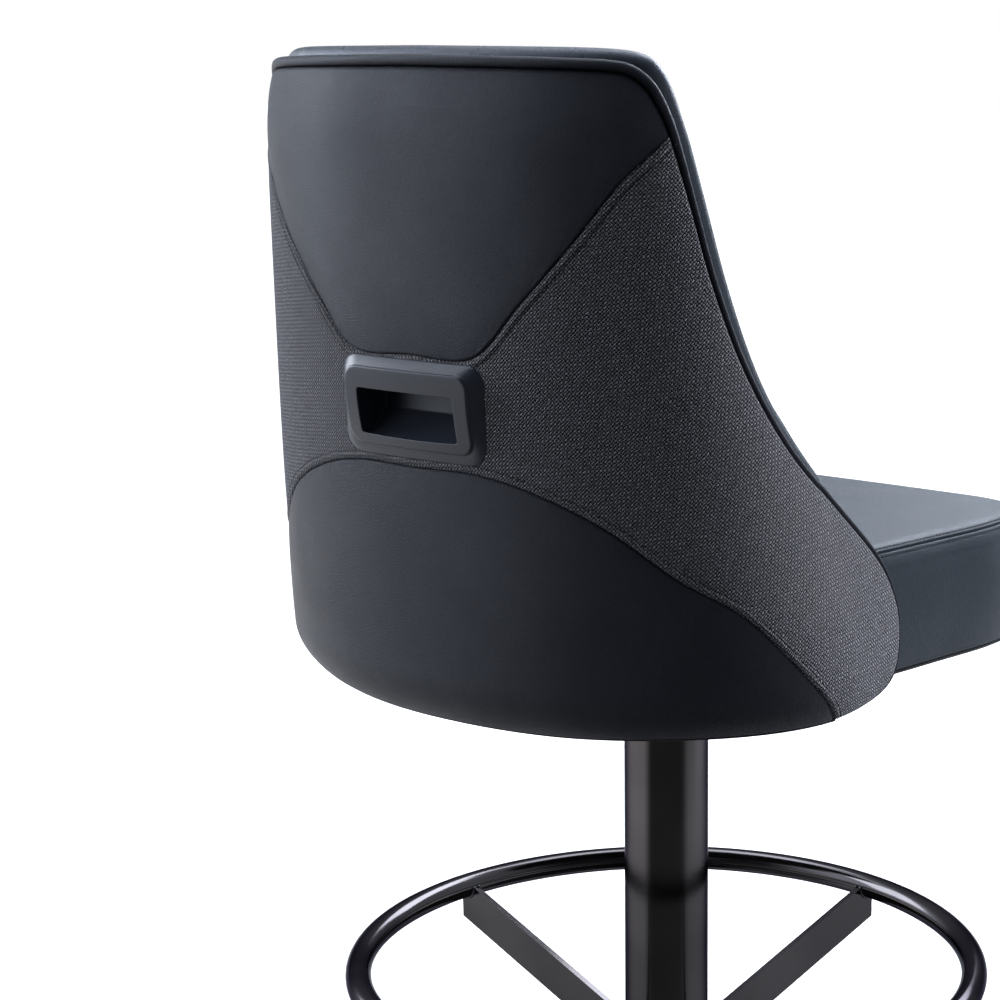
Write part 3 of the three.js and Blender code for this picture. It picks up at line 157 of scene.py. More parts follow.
def path_length(points):
    """The distance along a path from its start to each of its points."""
    steps = np.linalg.norm(np.diff(points, axis=0), axis=1)
    return np.concatenate([[0], np.cumsum(steps)])


def along(curve, share):
    """The points at shares (0 to 1) of an evenly spaced curve's length."""
    places = np.linspace(0, 1, len(curve))
    return np.stack([np.interp(share, places, curve[:, k]) for k in range(curve.shape[1])], axis=-1)


def evenly(points, count):
    """A path's points spaced evenly along its length."""
    done = path_length(points)
    return np.stack(
        [np.interp(np.linspace(0, done[-1], count), done, points[:, k]) for k in range(points.shape[1])],
        axis=-1,
    )


def tube(path, normals, radius, sides, closed=False):
    """A ring of points round each point of a path, radius * (cos a * lift + sin a * side), where
    lift is the given normal squared up to the path. An open tube ends in half-round caps."""
    tangent = unit(np.gradient(path, axis=0))
    if closed:
        tangent = unit(np.roll(path, -1, axis=0) - np.roll(path, 1, axis=0))
    radius = np.broadcast_to(radius, len(path)).astype(float)
    if not closed:
        turn = np.linspace(0, math.pi / 2, 5)[1:]
        ends = [(path[0], -tangent[0], 0), (path[-1], tangent[-1], -1)]
        caps = [p + d * radius[k] * np.sin(turn)[:, None] for p, d, k in ends]
        shrink = [radius[k] * np.maximum(np.cos(turn), 0.02) for k in (0, -1)]
        path = np.concatenate([caps[0][::-1], path, caps[1]])
        radius = np.concatenate([shrink[0][::-1], radius, shrink[1]])
        tangent = np.concatenate([np.repeat(tangent[:1], 4, 0), tangent, np.repeat(tangent[-1:], 4, 0)])
        normals = np.concatenate([np.repeat(normals[:1], 4, 0), normals, np.repeat(normals[-1:], 4, 0)])
    side = unit(np.cross(tangent, normals))
    lift = np.cross(side, tangent)
    angle = np.linspace(0, 2 * math.pi, sides, endpoint=False)[None, :, None]
    ring = np.cos(angle) * lift[:, None] + np.sin(angle) * side[:, None]
    points = path[:, None] + radius[:, None, None] * ring
    return points, grid_faces(len(path), sides, wrap_rows=closed, wrap_columns=True)


def turned(profile, segments):
    """A closed profile of (radius, height) carried once round the Z axis."""
    profile = np.asarray(profile, float)
    angle = np.linspace(0, 2 * math.pi, segments, endpoint=False)
    across = profile[None, :, 0]
    points = np.stack(
        [across * np.cos(angle)[:, None], across * np.sin(angle)[:, None],
         np.broadcast_to(profile[None, :, 1], (segments, len(profile)))],
        axis=-1,
    )
    return points, grid_faces(segments, len(profile), wrap_rows=True, wrap_columns=True)


def rounded_profile(corners, radius, steps=4):
    """A closed outline whose corners are rounded: each corner point gives way to a short quadratic
    curve that starts and ends a radius away from it."""
    corners = np.asarray(corners, float)
    back = unit(np.roll(corners, 1, axis=0) - corners)
    ahead = unit(np.roll(corners, -1, axis=0) - corners)
    gap = np.linalg.norm(np.roll(corners, -1, axis=0) - corners, axis=1)
    reach = np.minimum(radius, np.minimum(gap, np.roll(gap, 1)) * 0.45)[:, None, None]
    t = np.linspace(0, 1, steps + 1)[None, :, None]
    start, end = corners[:, None] + back[:, None] * reach, corners[:, None] + ahead[:, None] * reach
    curve = (1 - t) ** 2 * start + 2 * t * (1 - t) * corners[:, None] + t**2 * end
    return curve.reshape(-1, corners.shape[1])


# %% [markdown]
# ## Stitches
# A sewn seam shows as a row of short threads that dive into the leather at both ends. Each stitch
# is a bent capsule of thirty faces, so hundreds of them stay light, and all the stitches of a row
# are worked out together.

# %% Rows of stitches
STITCH_SIDES = 5


def stitch_row(path, normals, pitch, length, radius, proud):
    """Threads along a path: at each place a thread runs from -length/2 to length/2, at the height
    proud - (proud + radius) * (2x / length)^4 above the surface."""
    done = path_length(path)
    count = max(int(done[-1] / pitch), 1)
    places = (np.arange(count) + 0.5) * pitch
    pick = lambda values: np.stack([np.interp(places, done, values[:, k]) for k in range(3)], axis=-1)
    centre, normal = pick(path), unit(pick(normals))
    tangent = unit(pick(unit(np.gradient(path, axis=0))))
    side = unit(np.cross(tangent, normal))
    share = np.array([-1, -0.85, -0.45, 0, 0.45, 0.85, 1])
    lift = proud - (proud + radius) * share**4
    thick = radius * np.array([0.45, 0.85, 1, 1, 1, 0.85, 0.45])
    angle = np.linspace(0, 2 * math.pi, STITCH_SIDES, endpoint=False)
    spine = (
        centre[:, None]
        + tangent[:, None] * (share * length / 2)[None, :, None]
        + normal[:, None] * lift[None, :, None]
    )
    ring = np.cos(angle)[:, None] * normal[:, None, None] + np.sin(angle)[:, None] * side[:, None, None]
    points = spine[:, :, None] + thick[None, :, None, None] * ring
    one = grid_faces(len(share), STITCH_SIDES, wrap_columns=True)
    jumps = (np.arange(count) * len(share) * STITCH_SIDES)[:, None, None]
    return points.reshape(-1, 3), (one[None] + jumps).reshape(-1, 4)


def joined(rows):
    """Several sets of points and faces as one set."""
    starts = np.cumsum([0] + [len(points.reshape(-1, 3)) for points, _ in rows[:-1]])
    points = np.concatenate([points.reshape(-1, 3) for points, _ in rows])
    return points, np.concatenate([faces + start for (_, faces), start in zip(rows, starts)])


# %% [markdown]
# ## Shader groups
# Grain, weave and the marks of handling are wanted by several finishes, so each is a node group
# with named inputs and outputs. A group only gives heights, masks and tones. The shader itself
# stays in each material, where its plain values are set.

# %% Node helpers
def add_node(tree, kind, inputs=None, **settings):
    """A node with its settings, and with values or links on its named inputs."""
    node = tree.nodes.new(kind)
    for key, value in settings.items():
        setattr(node, key, value)
    for key, value in (inputs or {}).items():
        if isinstance(value, bpy.types.NodeSocket):
            tree.links.new(value, node.inputs[key])
        else:
            node.inputs[key].default_value = value
    return node


def calc(tree, operation, *values):
    """The output of one sum on values or sockets."""
    return add_node(tree, "ShaderNodeMath", dict(enumerate(values)), operation=operation).outputs[0]


def remap(tree, value, low, high, to_low=0.0, to_high=1.0):
    """A value taken from one range to another with soft ends."""
    inputs = {"Value": value, "From Min": low, "From Max": high, "To Min": to_low, "To Max": to_high}
    node = add_node(tree, "ShaderNodeMapRange", inputs, interpolation_type="SMOOTHSTEP")
    return node.outputs["Result"]


def new_group(name, inputs, outputs):
    """An empty group with its sockets, and the nodes that stand for them inside."""
    group = bpy.data.node_groups.new(name, "ShaderNodeTree")
    for label, kind in inputs:
        group.interface.new_socket(label, in_out="INPUT", socket_type=kind)
    for label in outputs:
        group.interface.new_socket(label, in_out="OUTPUT", socket_type="NodeSocketFloat")
    return group, group.nodes.new("NodeGroupInput").outputs, group.nodes.new("NodeGroupOutput").inputs


def place_group(tree, group, vector, **values):
    """A group placed in a material, fed with a vector and its own values."""
    node = tree.nodes.new("ShaderNodeGroup")
    node.node_tree = group
    tree.links.new(vector, node.inputs["Vector"])
    for key, value in values.items():
        node.inputs[key.replace("_", " ")].default_value = value
    return node.outputs


VECTOR, FLOAT = "NodeSocketVector", "NodeSocketFloat"

# %% [markdown]
# Upholstery leather is embossed with a pebble grain: small rounded islands about a millimetre
# across with fine creases between them, and some of them run together. Two Voronoi patterns of
# different sizes, both bent by noise, give that. A slow noise makes the hide's tone drift.

# %% Leather grain
leather_grain, given, out = new_group(
    "leather_grain", [("Vector", VECTOR), ("Pebbles per Metre", FLOAT)], ["Height", "Crease", "Tone"]
)
scaled = add_node(leather_grain, "ShaderNodeVectorMath",
                  {0: given["Vector"], "Scale": given["Pebbles per Metre"]}, operation="SCALE")
bend = add_node(leather_grain, "ShaderNodeTexNoise", {"Vector": scaled.outputs[0], "Scale": 0.9})
bend_scaled = add_node(leather_grain, "ShaderNodeVectorMath",
                       {0: bend.outputs["Color"], "Scale": 0.9}, operation="SCALE")
bent = add_node(leather_grain, "ShaderNodeVectorMath",
                {0: scaled.outputs[0], 1: bend_scaled.outputs[0]}, operation="ADD")
pebbles = add_node(leather_grain, "ShaderNodeTexVoronoi", {"Vector": bent.outputs[0], "Scale": 1.0},
                   feature="DISTANCE_TO_EDGE")
fine_pebbles = add_node(leather_grain, "ShaderNodeTexVoronoi", {"Vector": bent.outputs[0], "Scale": 2.3},
                        feature="DISTANCE_TO_EDGE")
pebble_height = remap(leather_grain, pebbles.outputs["Distance"], 0.0, 0.28)
fine_height = remap(leather_grain, fine_pebbles.outputs["Distance"], 0.0, 0.3)
height = calc(leather_grain, "MULTIPLY_ADD", fine_height, 0.35,
              calc(leather_grain, "MULTIPLY", pebble_height, 0.65))
hide = add_node(leather_grain, "ShaderNodeTexNoise",
                {"Vector": given["Vector"], "Scale": 14.0, "Detail": 3.0})
leather_grain.links.new(height, out["Height"])
leather_grain.links.new(remap(leather_grain, pebble_height, 0.0, 0.6, 1.0, 0.0), out["Crease"])
leather_grain.links.new(remap(leather_grain, hide.outputs["Fac"], 0.3, 0.7), out["Tone"])
print("leather_grain:", len(leather_grain.nodes), "nodes")

# %% [markdown]
# The grey cloth is a thick plain weave laid on the bias, so its threads cross the back diagonally.
# Where one set of threads is on top, it shows as a short float that leans one way, and the other
# set shows between them as floats that lean the other way. The cloth's own UV map is in metres.
# Turned by 45 degrees and divided by the pitch, it counts both sets of threads. The product of two
# sine waves then says which set leads at a crossing. Each thread is round across its width and
# dives under the next one, and where four of them meet a gap is left, which the cloth's finish
# paints near-black as shade. One set is spaced a little wider than the other, so that the floats of
# the light set are longer than they are wide.

# %% Woven cloth
woven_cloth, given, out = new_group(
    "woven_cloth", [("Vector", VECTOR), ("Threads per Metre", FLOAT)], ["Height", "Gap", "First Set", "Tone"]
)
wobble = add_node(woven_cloth, "ShaderNodeTexNoise", {"Vector": given["Vector"], "Scale": 210.0})
wobble_small = add_node(woven_cloth, "ShaderNodeVectorMath",
                        {0: wobble.outputs["Color"], "Scale": 0.0021}, operation="SCALE")
laid = add_node(woven_cloth, "ShaderNodeVectorMath",
                {0: given["Vector"], 1: wobble_small.outputs[0]}, operation="ADD")
split = add_node(woven_cloth, "ShaderNodeSeparateXYZ", {0: laid.outputs[0]})
BIAS_SHARE = math.sqrt(0.5)
FLOAT_SHARE = 0.80  # threads per metre of the wider set, as a share of the other set's


def bias_place(tree, operation, first_part, second_part, threads):
    """A thread's number and place: the sum or difference of the two lengths, turned and scaled."""
    turned_by_half = calc(tree, "MULTIPLY", calc(tree, operation, first_part, second_part), BIAS_SHARE)
    return calc(tree, "MULTIPLY", turned_by_half, threads)


def wave(tree, place):
    """sin(pi * place), which is 0 on the borders between threads and changes sign from one to the
    next."""
    return calc(tree, "SINE", calc(tree, "MULTIPLY", place, math.pi))


wide_threads = calc(woven_cloth, "MULTIPLY", given["Threads per Metre"], FLOAT_SHARE)
first = bias_place(woven_cloth, "SUBTRACT", split.outputs["Y"], split.outputs["X"], wide_threads)
second = bias_place(woven_cloth, "ADD", split.outputs["X"], split.outputs["Y"], given["Threads per Metre"])
first_wave, second_wave = wave(woven_cloth, first), wave(woven_cloth, second)
lead = calc(woven_cloth, "MULTIPLY", calc(woven_cloth, "MULTIPLY", first_wave, second_wave), 0.5)
first_round = calc(woven_cloth, "POWER", calc(woven_cloth, "ABSOLUTE", second_wave), 1.1)
second_round = calc(woven_cloth, "POWER", calc(woven_cloth, "ABSOLUTE", first_wave), 1.1)
first_height = calc(woven_cloth, "MULTIPLY", first_round, calc(woven_cloth, "ADD", 0.64, lead))
second_height = calc(woven_cloth, "MULTIPLY", second_round, calc(woven_cloth, "SUBTRACT", 0.54, lead))
height = calc(woven_cloth, "MAXIMUM", first_height, second_height)
knots = add_node(woven_cloth, "ShaderNodeCombineXYZ", {
    "X": calc(woven_cloth, "FLOOR", first), "Y": calc(woven_cloth, "FLOOR", second)})
float_tone = add_node(woven_cloth, "ShaderNodeTexWhiteNoise", {"Vector": knots.outputs[0]},
                      noise_dimensions="2D")
fleck = add_node(woven_cloth, "ShaderNodeTexNoise",
                 {"Vector": given["Vector"], "Scale": 1100.0, "Detail": 2.0})
tone = calc(woven_cloth, "MULTIPLY_ADD", float_tone.outputs["Value"], 0.5,
            calc(woven_cloth, "MULTIPLY", remap(woven_cloth, fleck.outputs["Fac"], 0.3, 0.7), 0.5))
woven_cloth.links.new(height, out["Height"])
woven_cloth.links.new(remap(woven_cloth, height, 0.46, 0.70, 1.0, 0.0), out["Gap"])
woven_cloth.links.new(calc(woven_cloth, "GREATER_THAN", first_height, second_height), out["First Set"])
woven_cloth.links.new(tone, out["Tone"])
print("woven_cloth:", len(woven_cloth.nodes), "nodes")

# %% [markdown]
# Hard parts are never quite even: plating and plastic have slow clouds of gloss, faint rubbing
# marks and a fine grit. One group gives all three from noise of different sizes, and each finish
# takes as much of them as it needs.

# %% Surface marks
surface_marks, given, out = new_group(
    "surface_marks", [("Vector", VECTOR), ("Grit per Metre", FLOAT)], ["Cloud", "Rub", "Grit"]
)
cloud = add_node(surface_marks, "ShaderNodeTexNoise",
                 {"Vector": given["Vector"], "Scale": 9.0, "Detail": 4.0})
stretch = add_node(surface_marks, "ShaderNodeVectorMath",
                   {0: given["Vector"], 1: (60.0, 60.0, 900.0)}, operation="MULTIPLY")
rub = add_node(surface_marks, "ShaderNodeTexNoise",
               {"Vector": stretch.outputs[0], "Scale": 1.0, "Detail": 2.0})
grit = add_node(surface_marks, "ShaderNodeTexNoise",
                {"Vector": given["Vector"], "Scale": given["Grit per Metre"], "Detail": 2.0})
surface_marks.links.new(remap(surface_marks, cloud.outputs["Fac"], 0.35, 0.65), out["Cloud"])
surface_marks.links.new(remap(surface_marks, rub.outputs["Fac"], 0.45, 0.75), out["Rub"])
surface_marks.links.new(grit.outputs["Fac"], out["Grit"])
print("surface_marks:", len(surface_marks.nodes), "nodes")

# %% [markdown]
# ## Finishes
# Colours are linear values. The outer leather is close to black with a cold cast, and the inner
# cushions are a lighter slate. Each function makes one finish.

# %% Material helpers
def start_material(name, **values):
    """A material whose shader has its plain values set by the names of its sockets."""
    made = bpy.data.materials.new(name)
    made.use_nodes = True
    shader = made.node_tree.nodes["Principled BSDF"]
    for key, value in values.items():
        shader.inputs[key.replace("_", " ")].default_value = value
    return made, made.node_tree, shader


def object_place(tree):
    """The point's place on the object, in metres."""
    return add_node(tree, "ShaderNodeTexCoord").outputs["Object"]


def mixed(tree, factor, first_colour, second_colour):
    """A colour between two, which may be plain colours or sockets."""
    inputs = {"Factor": factor, "A": first_colour, "B": second_colour}
    node = tree.nodes.new("ShaderNodeMix")
    node.data_type = "RGBA"
    for socket in node.inputs:
        if socket.enabled and socket.name in inputs:
            value = inputs[socket.name]
            if isinstance(value, bpy.types.NodeSocket):
                tree.links.new(value, socket)
            else:
                socket.default_value = (*value, 1) if isinstance(value, tuple) else value
    return next(socket for socket in node.outputs if socket.enabled)


def bump(tree, shader, height, distance, strength=1.0):
    """Roughens the shader's normal by a height in the given depth."""
    inputs = {"Height": height, "Distance": distance, "Strength": strength}
    tree.links.new(add_node(tree, "ShaderNodeBump", inputs).outputs["Normal"], shader.inputs["Normal"])


# %% Leather
def leather(name, colour, worn_colour, roughness_low, roughness_high, gloss=0.5, pebbles=760.0,
            depth=0.00045):
    """Pebbled leather: the creases get painted shade, and the tone and gloss drift over the hide."""
    made, tree, shader = start_material(name, Specular_IOR_Level=gloss, Specular_Tint=(0.76, 0.83, 1.0, 1))
    grain = place_group(tree, leather_grain, object_place(tree), Pebbles_per_Metre=pebbles)
    base = mixed(tree, grain["Tone"], colour, worn_colour)
    # Painted shade: the creases are darkened towards 0.35 of the leather's colour.
    crease_shade_share = calc(tree, "MULTIPLY", grain["Crease"], 0.45)
    crease_shaded = mixed(tree, crease_shade_share, base, tuple(v * 0.35 for v in colour))
    tree.links.new(crease_shaded, shader.inputs["Base Color"])
    roughness = remap(tree, grain["Tone"], 0.0, 1.0, roughness_high, roughness_low)
    tree.links.new(roughness, shader.inputs["Roughness"])
    bump(tree, shader, grain["Height"], depth)
    return made


outer_leather = leather("outer_leather", (0.016, 0.016, 0.023), (0.020, 0.020, 0.028), 0.33, 0.39, gloss=0.30)
# The seat and the back cushion are one hide on the real stool. The cushion's is glossier here only
# to bring its border nearer the brightness that it has in the photograph.
seat_leather = leather("seat_leather", (0.029, 0.038, 0.048), (0.034, 0.044, 0.055), 0.30, 0.33, gloss=0.34,
                       depth=0.00024)
pad_leather = leather("pad_leather", (0.030, 0.038, 0.049), (0.036, 0.045, 0.057), 0.24, 0.28, gloss=0.75,
                      depth=0.00018)
wrap_leather = leather("wrap_leather", (0.012, 0.013, 0.016), (0.016, 0.017, 0.020), 0.55, 0.65)

# %% Cloth, felt and thread
def bias_weave():
    """Grey melange cloth: light floats over gaps painted near-black as shade, the first set of threads
    lighter.
    """
    made, tree, shader = start_material("bias_weave", Roughness=0.85, Specular_IOR_Level=0.25,
                                        Sheen_Weight=0.25, Sheen_Roughness=0.5)
    laid_out = add_node(tree, "ShaderNodeTexCoord").outputs["UV"]
    cloth = place_group(tree, woven_cloth, laid_out, Threads_per_Metre=500.0)
    first_set = mixed(tree, cloth["Tone"], (0.300, 0.286, 0.308), (0.740, 0.706, 0.756))
    second_set = mixed(tree, cloth["Tone"], (0.170, 0.162, 0.175), (0.420, 0.400, 0.430))
    floats = mixed(tree, cloth["First Set"], second_set, first_set)
    # Painted shade: the gaps between the threads are painted near-black.
    tree.links.new(mixed(tree, cloth["Gap"], floats, (0.002, 0.002, 0.003)), shader.inputs["Base Color"])
    bump(tree, shader, cloth["Height"], 0.0011)
    return made


def gritty(name, colour, other_colour, roughness, grit, depth, metallic=0.0):
    """A dull surface with a fine grit: felt, rubber, thread, cast iron or raw board."""
    made, tree, shader = start_material(name, Roughness=roughness, Metallic=metallic)
    marks = place_group(tree, surface_marks, object_place(tree), Grit_per_Metre=grit)
    tree.links.new(mixed(tree, marks["Grit"], colour, other_colour), shader.inputs["Base Color"])
    bump(tree, shader, marks["Grit"], depth)
    return made


back_weave = bias_weave()
lining_felt = gritty("lining_felt", (0.02, 0.02, 0.022), (0.045, 0.045, 0.048), 0.95, 1400.0, 0.0006)
thread_black = gritty("thread_black", (0.006, 0.006, 0.008), (0.014, 0.014, 0.017), 0.6, 3000.0, 0.0001)
thread_slate = gritty("thread_slate", (0.020, 0.024, 0.030), (0.034, 0.040, 0.048), 0.6, 3000.0, 0.0001)
binding_black = gritty("binding_black", (0.006, 0.006, 0.008), (0.012, 0.012, 0.014), 0.5, 1500.0, 0.0001)
floor_rubber = gritty("floor_rubber", (0.02, 0.02, 0.021), (0.035, 0.035, 0.036), 0.85, 700.0, 0.0004)
cast_iron = gritty("cast_iron", (0.07, 0.07, 0.074), (0.13, 0.13, 0.135), 0.7, 420.0, 0.0010, metallic=0.7)

# %% Plating, steel and bronze
def metal(name, colour, other_colour, roughness_low, roughness_high, grit=900.0, depth=0.00002,
          edge_tint=(1, 1, 1, 1)):
    """Metal whose gloss drifts in slow clouds, with faint rubbing marks in it."""
    made, tree, shader = start_material(name, Metallic=1.0, Specular_Tint=edge_tint)
    marks = place_group(tree, surface_marks, object_place(tree), Grit_per_Metre=grit)
    tree.links.new(mixed(tree, marks["Cloud"], colour, other_colour), shader.inputs["Base Color"])
    rubbed = calc(tree, "MULTIPLY_ADD", marks["Rub"], 0.25, calc(tree, "MULTIPLY", marks["Cloud"], 0.75))
    tree.links.new(remap(tree, rubbed, 0.0, 1.0, roughness_low, roughness_high), shader.inputs["Roughness"])
    bump(tree, shader, marks["Grit"], depth)
    return made


black_nickel = metal("black_nickel", (0.086, 0.080, 0.082), (0.106, 0.099, 0.101), 0.10, 0.17,
                     edge_tint=(0.30, 0.30, 0.33, 1))
weld_metal = metal("weld_metal", (0.06, 0.06, 0.066), (0.085, 0.085, 0.094), 0.22, 0.34, 1600.0, 0.0001)
dark_steel = metal("dark_steel", (0.08, 0.082, 0.09), (0.12, 0.123, 0.13), 0.38, 0.52, 1200.0, 0.00008)
zinc_steel = metal("zinc_steel", (0.42, 0.43, 0.45), (0.56, 0.57, 0.60), 0.28, 0.42)
bronze = metal("bronze", (0.42, 0.28, 0.13), (0.55, 0.39, 0.20), 0.32, 0.46, 1500.0, 0.00006)

# %% Plastic and plywood
def moulded(name, colour, other_colour, roughness_low, roughness_high, depth):
    """Moulded plastic with a fine spark-eroded texture."""
    made, tree, shader = start_material(name, Specular_IOR_Level=0.5)
    marks = place_group(tree, surface_marks, object_place(tree), Grit_per_Metre=2600.0)
    tree.links.new(mixed(tree, marks["Cloud"], colour, other_colour), shader.inputs["Base Color"])
    roughness = remap(tree, marks["Cloud"], 0.0, 1.0, roughness_high, roughness_low)
    tree.links.new(roughness, shader.inputs["Roughness"])
    bump(tree, shader, marks["Grit"], depth)
    return made


def birch_board():
    """Birch plywood: thin plies in turn light and dark over its height, with grain along them."""
    made, tree, shader = start_material("birch_board", Roughness=0.7)
    place = object_place(tree)
    plies = add_node(tree, "ShaderNodeTexWave", {"Vector": place, "Scale": 110.0, "Distortion": 0.4},
                     bands_direction="Z")
    marks = place_group(tree, surface_marks, place, Grit_per_Metre=500.0)
    grain = mixed(tree, marks["Grit"], (0.42, 0.29, 0.16), (0.66, 0.50, 0.31))
    tree.links.new(mixed(tree, calc(tree, "MULTIPLY", plies.outputs["Fac"], 0.4), grain, (0.30, 0.18, 0.09)),
                   shader.inputs["Base Color"])
    bump(tree, shader, marks["Grit"], 0.0002)
    return made


handle_plastic = moulded("handle_plastic", (0.044, 0.050, 0.067), (0.052, 0.059, 0.079), 0.26, 0.34, 0.00006)
pan_plastic = moulded("pan_plastic", (0.006, 0.006, 0.008), (0.010, 0.010, 0.012), 0.45, 0.55, 0.0001)
plywood = birch_board()

# %% [markdown]
# ## Carried-over parts
# Bolts, races, plates and boards already have their right shape in the frame. Each of them gets
# the finish of its slot in the record.

# %% Finish the frame's own parts
SLOT_FINISHES = {
    "floor_rubber": floor_rubber, "cast_weight": cast_iron, "black_nickel": black_nickel,
    "dark_steel": dark_steel, "zinc_steel": zinc_steel, "bronze": bronze, "plywood": plywood,
    "pan_plastic": pan_plastic, "handle_plastic": handle_plastic, "outer_leather": outer_leather,
    "seat_leather": seat_leather, "back_weave": back_weave, "lining_felt": lining_felt,
    "binding_cord": binding_black,
}
for subpart in frame["record"]["subparts"]:
    node = frame["nodes"].get(subpart["node"])
    if node is not None:
        node.data.materials.clear()
        node.data.materials.append(SLOT_FINISHES[subpart["material_slot"]])

# %% [markdown]
# ## The wall of the back
# The shell is one bent sheet. Its plan is a flat-backed curve: a quarter of a superellipse from
# the middle of the back to the end of the round corner, then a straight wing. Girth counts 0 at
# the middle and 1 at the corner's end, and goes on along the wing. The plan is known at three
# heights, a parabola through them gives it at every height, and the foot curls in.

# %% The wall's formula
PLAN_LEVELS = (0.5650, 0.8200, 1.0860)
BACK_PLACES = (0.3117, 0.3235, 0.3357)
HALF_WIDTHS = (0.2875, 0.2510, 0.2178)
CORNER_DEPTHS = (0.2145, 0.1720, 0.1138)
SQUARENESSES = (2.0, 2.35, 2.32)
WING_REACH = 0.400
WING_FLARE_SHARE = 0.03
TUCK = 0.0337
TUCK_HEIGHT = 0.0512
RIM_LEVEL = 0.5765
CREST_LEVEL = 1.0907
PROBE_SHARE = 0.002


def at_level(height, sizes):
    """The parabola through a size's values at the three plan levels."""
    low, mid, high = PLAN_LEVELS
    return (
        sizes[0] * (height - mid) * (height - high) / ((low - mid) * (low - high))
        + sizes[1] * (height - low) * (height - high) / ((mid - low) * (mid - high))
        + sizes[2] * (height - low) * (height - mid) / ((high - low) * (high - mid))
    )


def wall_point(girth, share):
    """The outer face: x = half width * sin^(2/squareness) and y = depth * cos^(2/squareness) of
    the quarter turn, then forward along the wing. Share is the height from rim to crest."""
    height = RIM_LEVEL + share * (CREST_LEVEL - RIM_LEVEL)
    power = 2 / at_level(height, SQUARENESSES)
    depth = at_level(height, CORNER_DEPTHS)
    foot_share = np.clip(1 - (height - PLAN_LEVELS[0]) / TUCK_HEIGHT, 0, 1)
    tuck = TUCK * foot_share**2
    reach = np.abs(girth)
    turn = np.minimum(reach, 1) * math.pi / 2
    forward = np.maximum(reach - 1, 0) * WING_REACH
    x = (at_level(height, HALF_WIDTHS) - tuck) * np.sin(turn) ** power + WING_FLARE_SHARE * forward
    y = at_level(height, BACK_PLACES) - depth - forward
    y = y + (depth - tuck) * np.maximum(np.cos(turn), 0) ** power
    return np.stack([np.sign(girth) * x, y, height + 0 * x], axis=-1)


def wall_normal(girth, share):
    """The outward direction, from two small steps across the wall and up it."""
    across = wall_point(girth + PROBE_SHARE, share) - wall_point(girth - PROBE_SHARE, share)
    up = wall_point(girth, share + PROBE_SHARE) - wall_point(girth, share - PROBE_SHARE)
    return unit(np.cross(up, across))


def wall(girth, share, out):
    """A point at a distance out from the wall's outer face, or into it where that is negative."""
    return wall_point(girth, share) + wall_normal(girth, share) * np.asarray(out)[..., None]


def wall_lengths(girth, share, steps=96):
    """Where a point lies on the laid-out wall: the length round the wall from the middle of the
    back, and the length up the wall from half height."""
    t = np.linspace(0, 1, steps + 1).reshape(-1, *([1] * np.ndim(girth)))
    round_path = wall_point(girth * t, share + 0 * t)
    up_path = wall_point(girth + 0 * t, 0.5 + (share - 0.5) * t)
    total = lambda path: np.linalg.norm(np.diff(path, axis=0), axis=-1).sum(axis=0)
    return np.stack([np.sign(girth) * total(round_path), np.sign(share - 0.5) * total(up_path)], axis=-1)


# %% [markdown]
# The edges and seams are smooth curves on that wall. Each is a list of (girth, share of height)
# points, with a Catmull-Rom curve through them, the same as in the frame.

# %% Edges and seams on the wall
RIM = [(0, 0), (0.26, 0), (0.51, 0.008), (0.78, 0.014), (0.9, 0.018), (1, 0.028), (1.066, 0.046)]
WING_EDGE = [(1.066, 0.046), (1.116, 0.082), (1.147, 0.125), (1.160, 0.175), (1.133, 0.246), (1.026, 0.351),
             (0.916, 0.455), (0.836, 0.568), (0.789, 0.69), (0.765, 0.81), (0.744, 0.9), (0.724, 0.938),
             (0.69, 0.969)]
CREST = [(0, 1), (0.25, 0.998), (0.42, 0.996), (0.565, 0.993), (0.635, 0.987), (0.69, 0.969)]
UPPER_SEAM = [(0, 0.577), (0.13, 0.581), (0.25, 0.664), (0.4, 0.7555), (0.55, 0.8385), (0.7, 0.892),
              (0.85, 0.94)]
LOWER_SEAM = [(0, 0.4062), (0.12, 0.4062), (0.25, 0.385), (0.4, 0.3375), (0.55, 0.262), (0.7, 0.1968),
              (0.85, 0.068), (0.91, -0.008)]
CUSHION_FOOT = [(0, 0.272), (0.6, 0.272), (1.185, 0.272)]
CUSHION_EDGE = [(1.185, 0.272), (1.112, 0.351), (1.025, 0.455), (0.962, 0.568), (0.928, 0.69), (0.915, 0.81),
                (0.904, 0.893), (0.886, 0.937), (0.866, 0.969), (0.84, 0.992)]
CUSHION_CREST = [(0, 1.026), (0.4, 1.024), (0.62, 1.021), (0.73, 1.016), (0.79, 1.009), (0.84, 0.992)]
CURVE_SAMPLES = 1201


def smooth_curve(points):
    """The uniform Catmull-Rom curve through the points, evenly spaced."""
    p = np.asarray(points, float)
    guarded = np.concatenate([p[:1], p, p[-1:]])
    t = np.linspace(0, len(p) - 1, 4001)
    k = np.minimum(t.astype(int), len(p) - 2)
    f = (t - k)[:, None]
    before, start, end, after = (guarded[k + i] for i in range(4))
    leave, arrive = (end - before) / 2, (after - start) / 2
    curve = (2 * start - 2 * end + leave + arrive) * f**3
    curve += (-3 * start + 3 * end - 2 * leave - arrive) * f**2 + leave * f + start
    return evenly(curve, CURVE_SAMPLES)


def crossing(first_curve, second_curve):
    """The samples at which two curves come closest."""
    gaps = np.linalg.norm(first_curve[:, None] - second_curve[None], axis=-1)
    return np.unravel_index(np.argmin(gaps), gaps.shape)


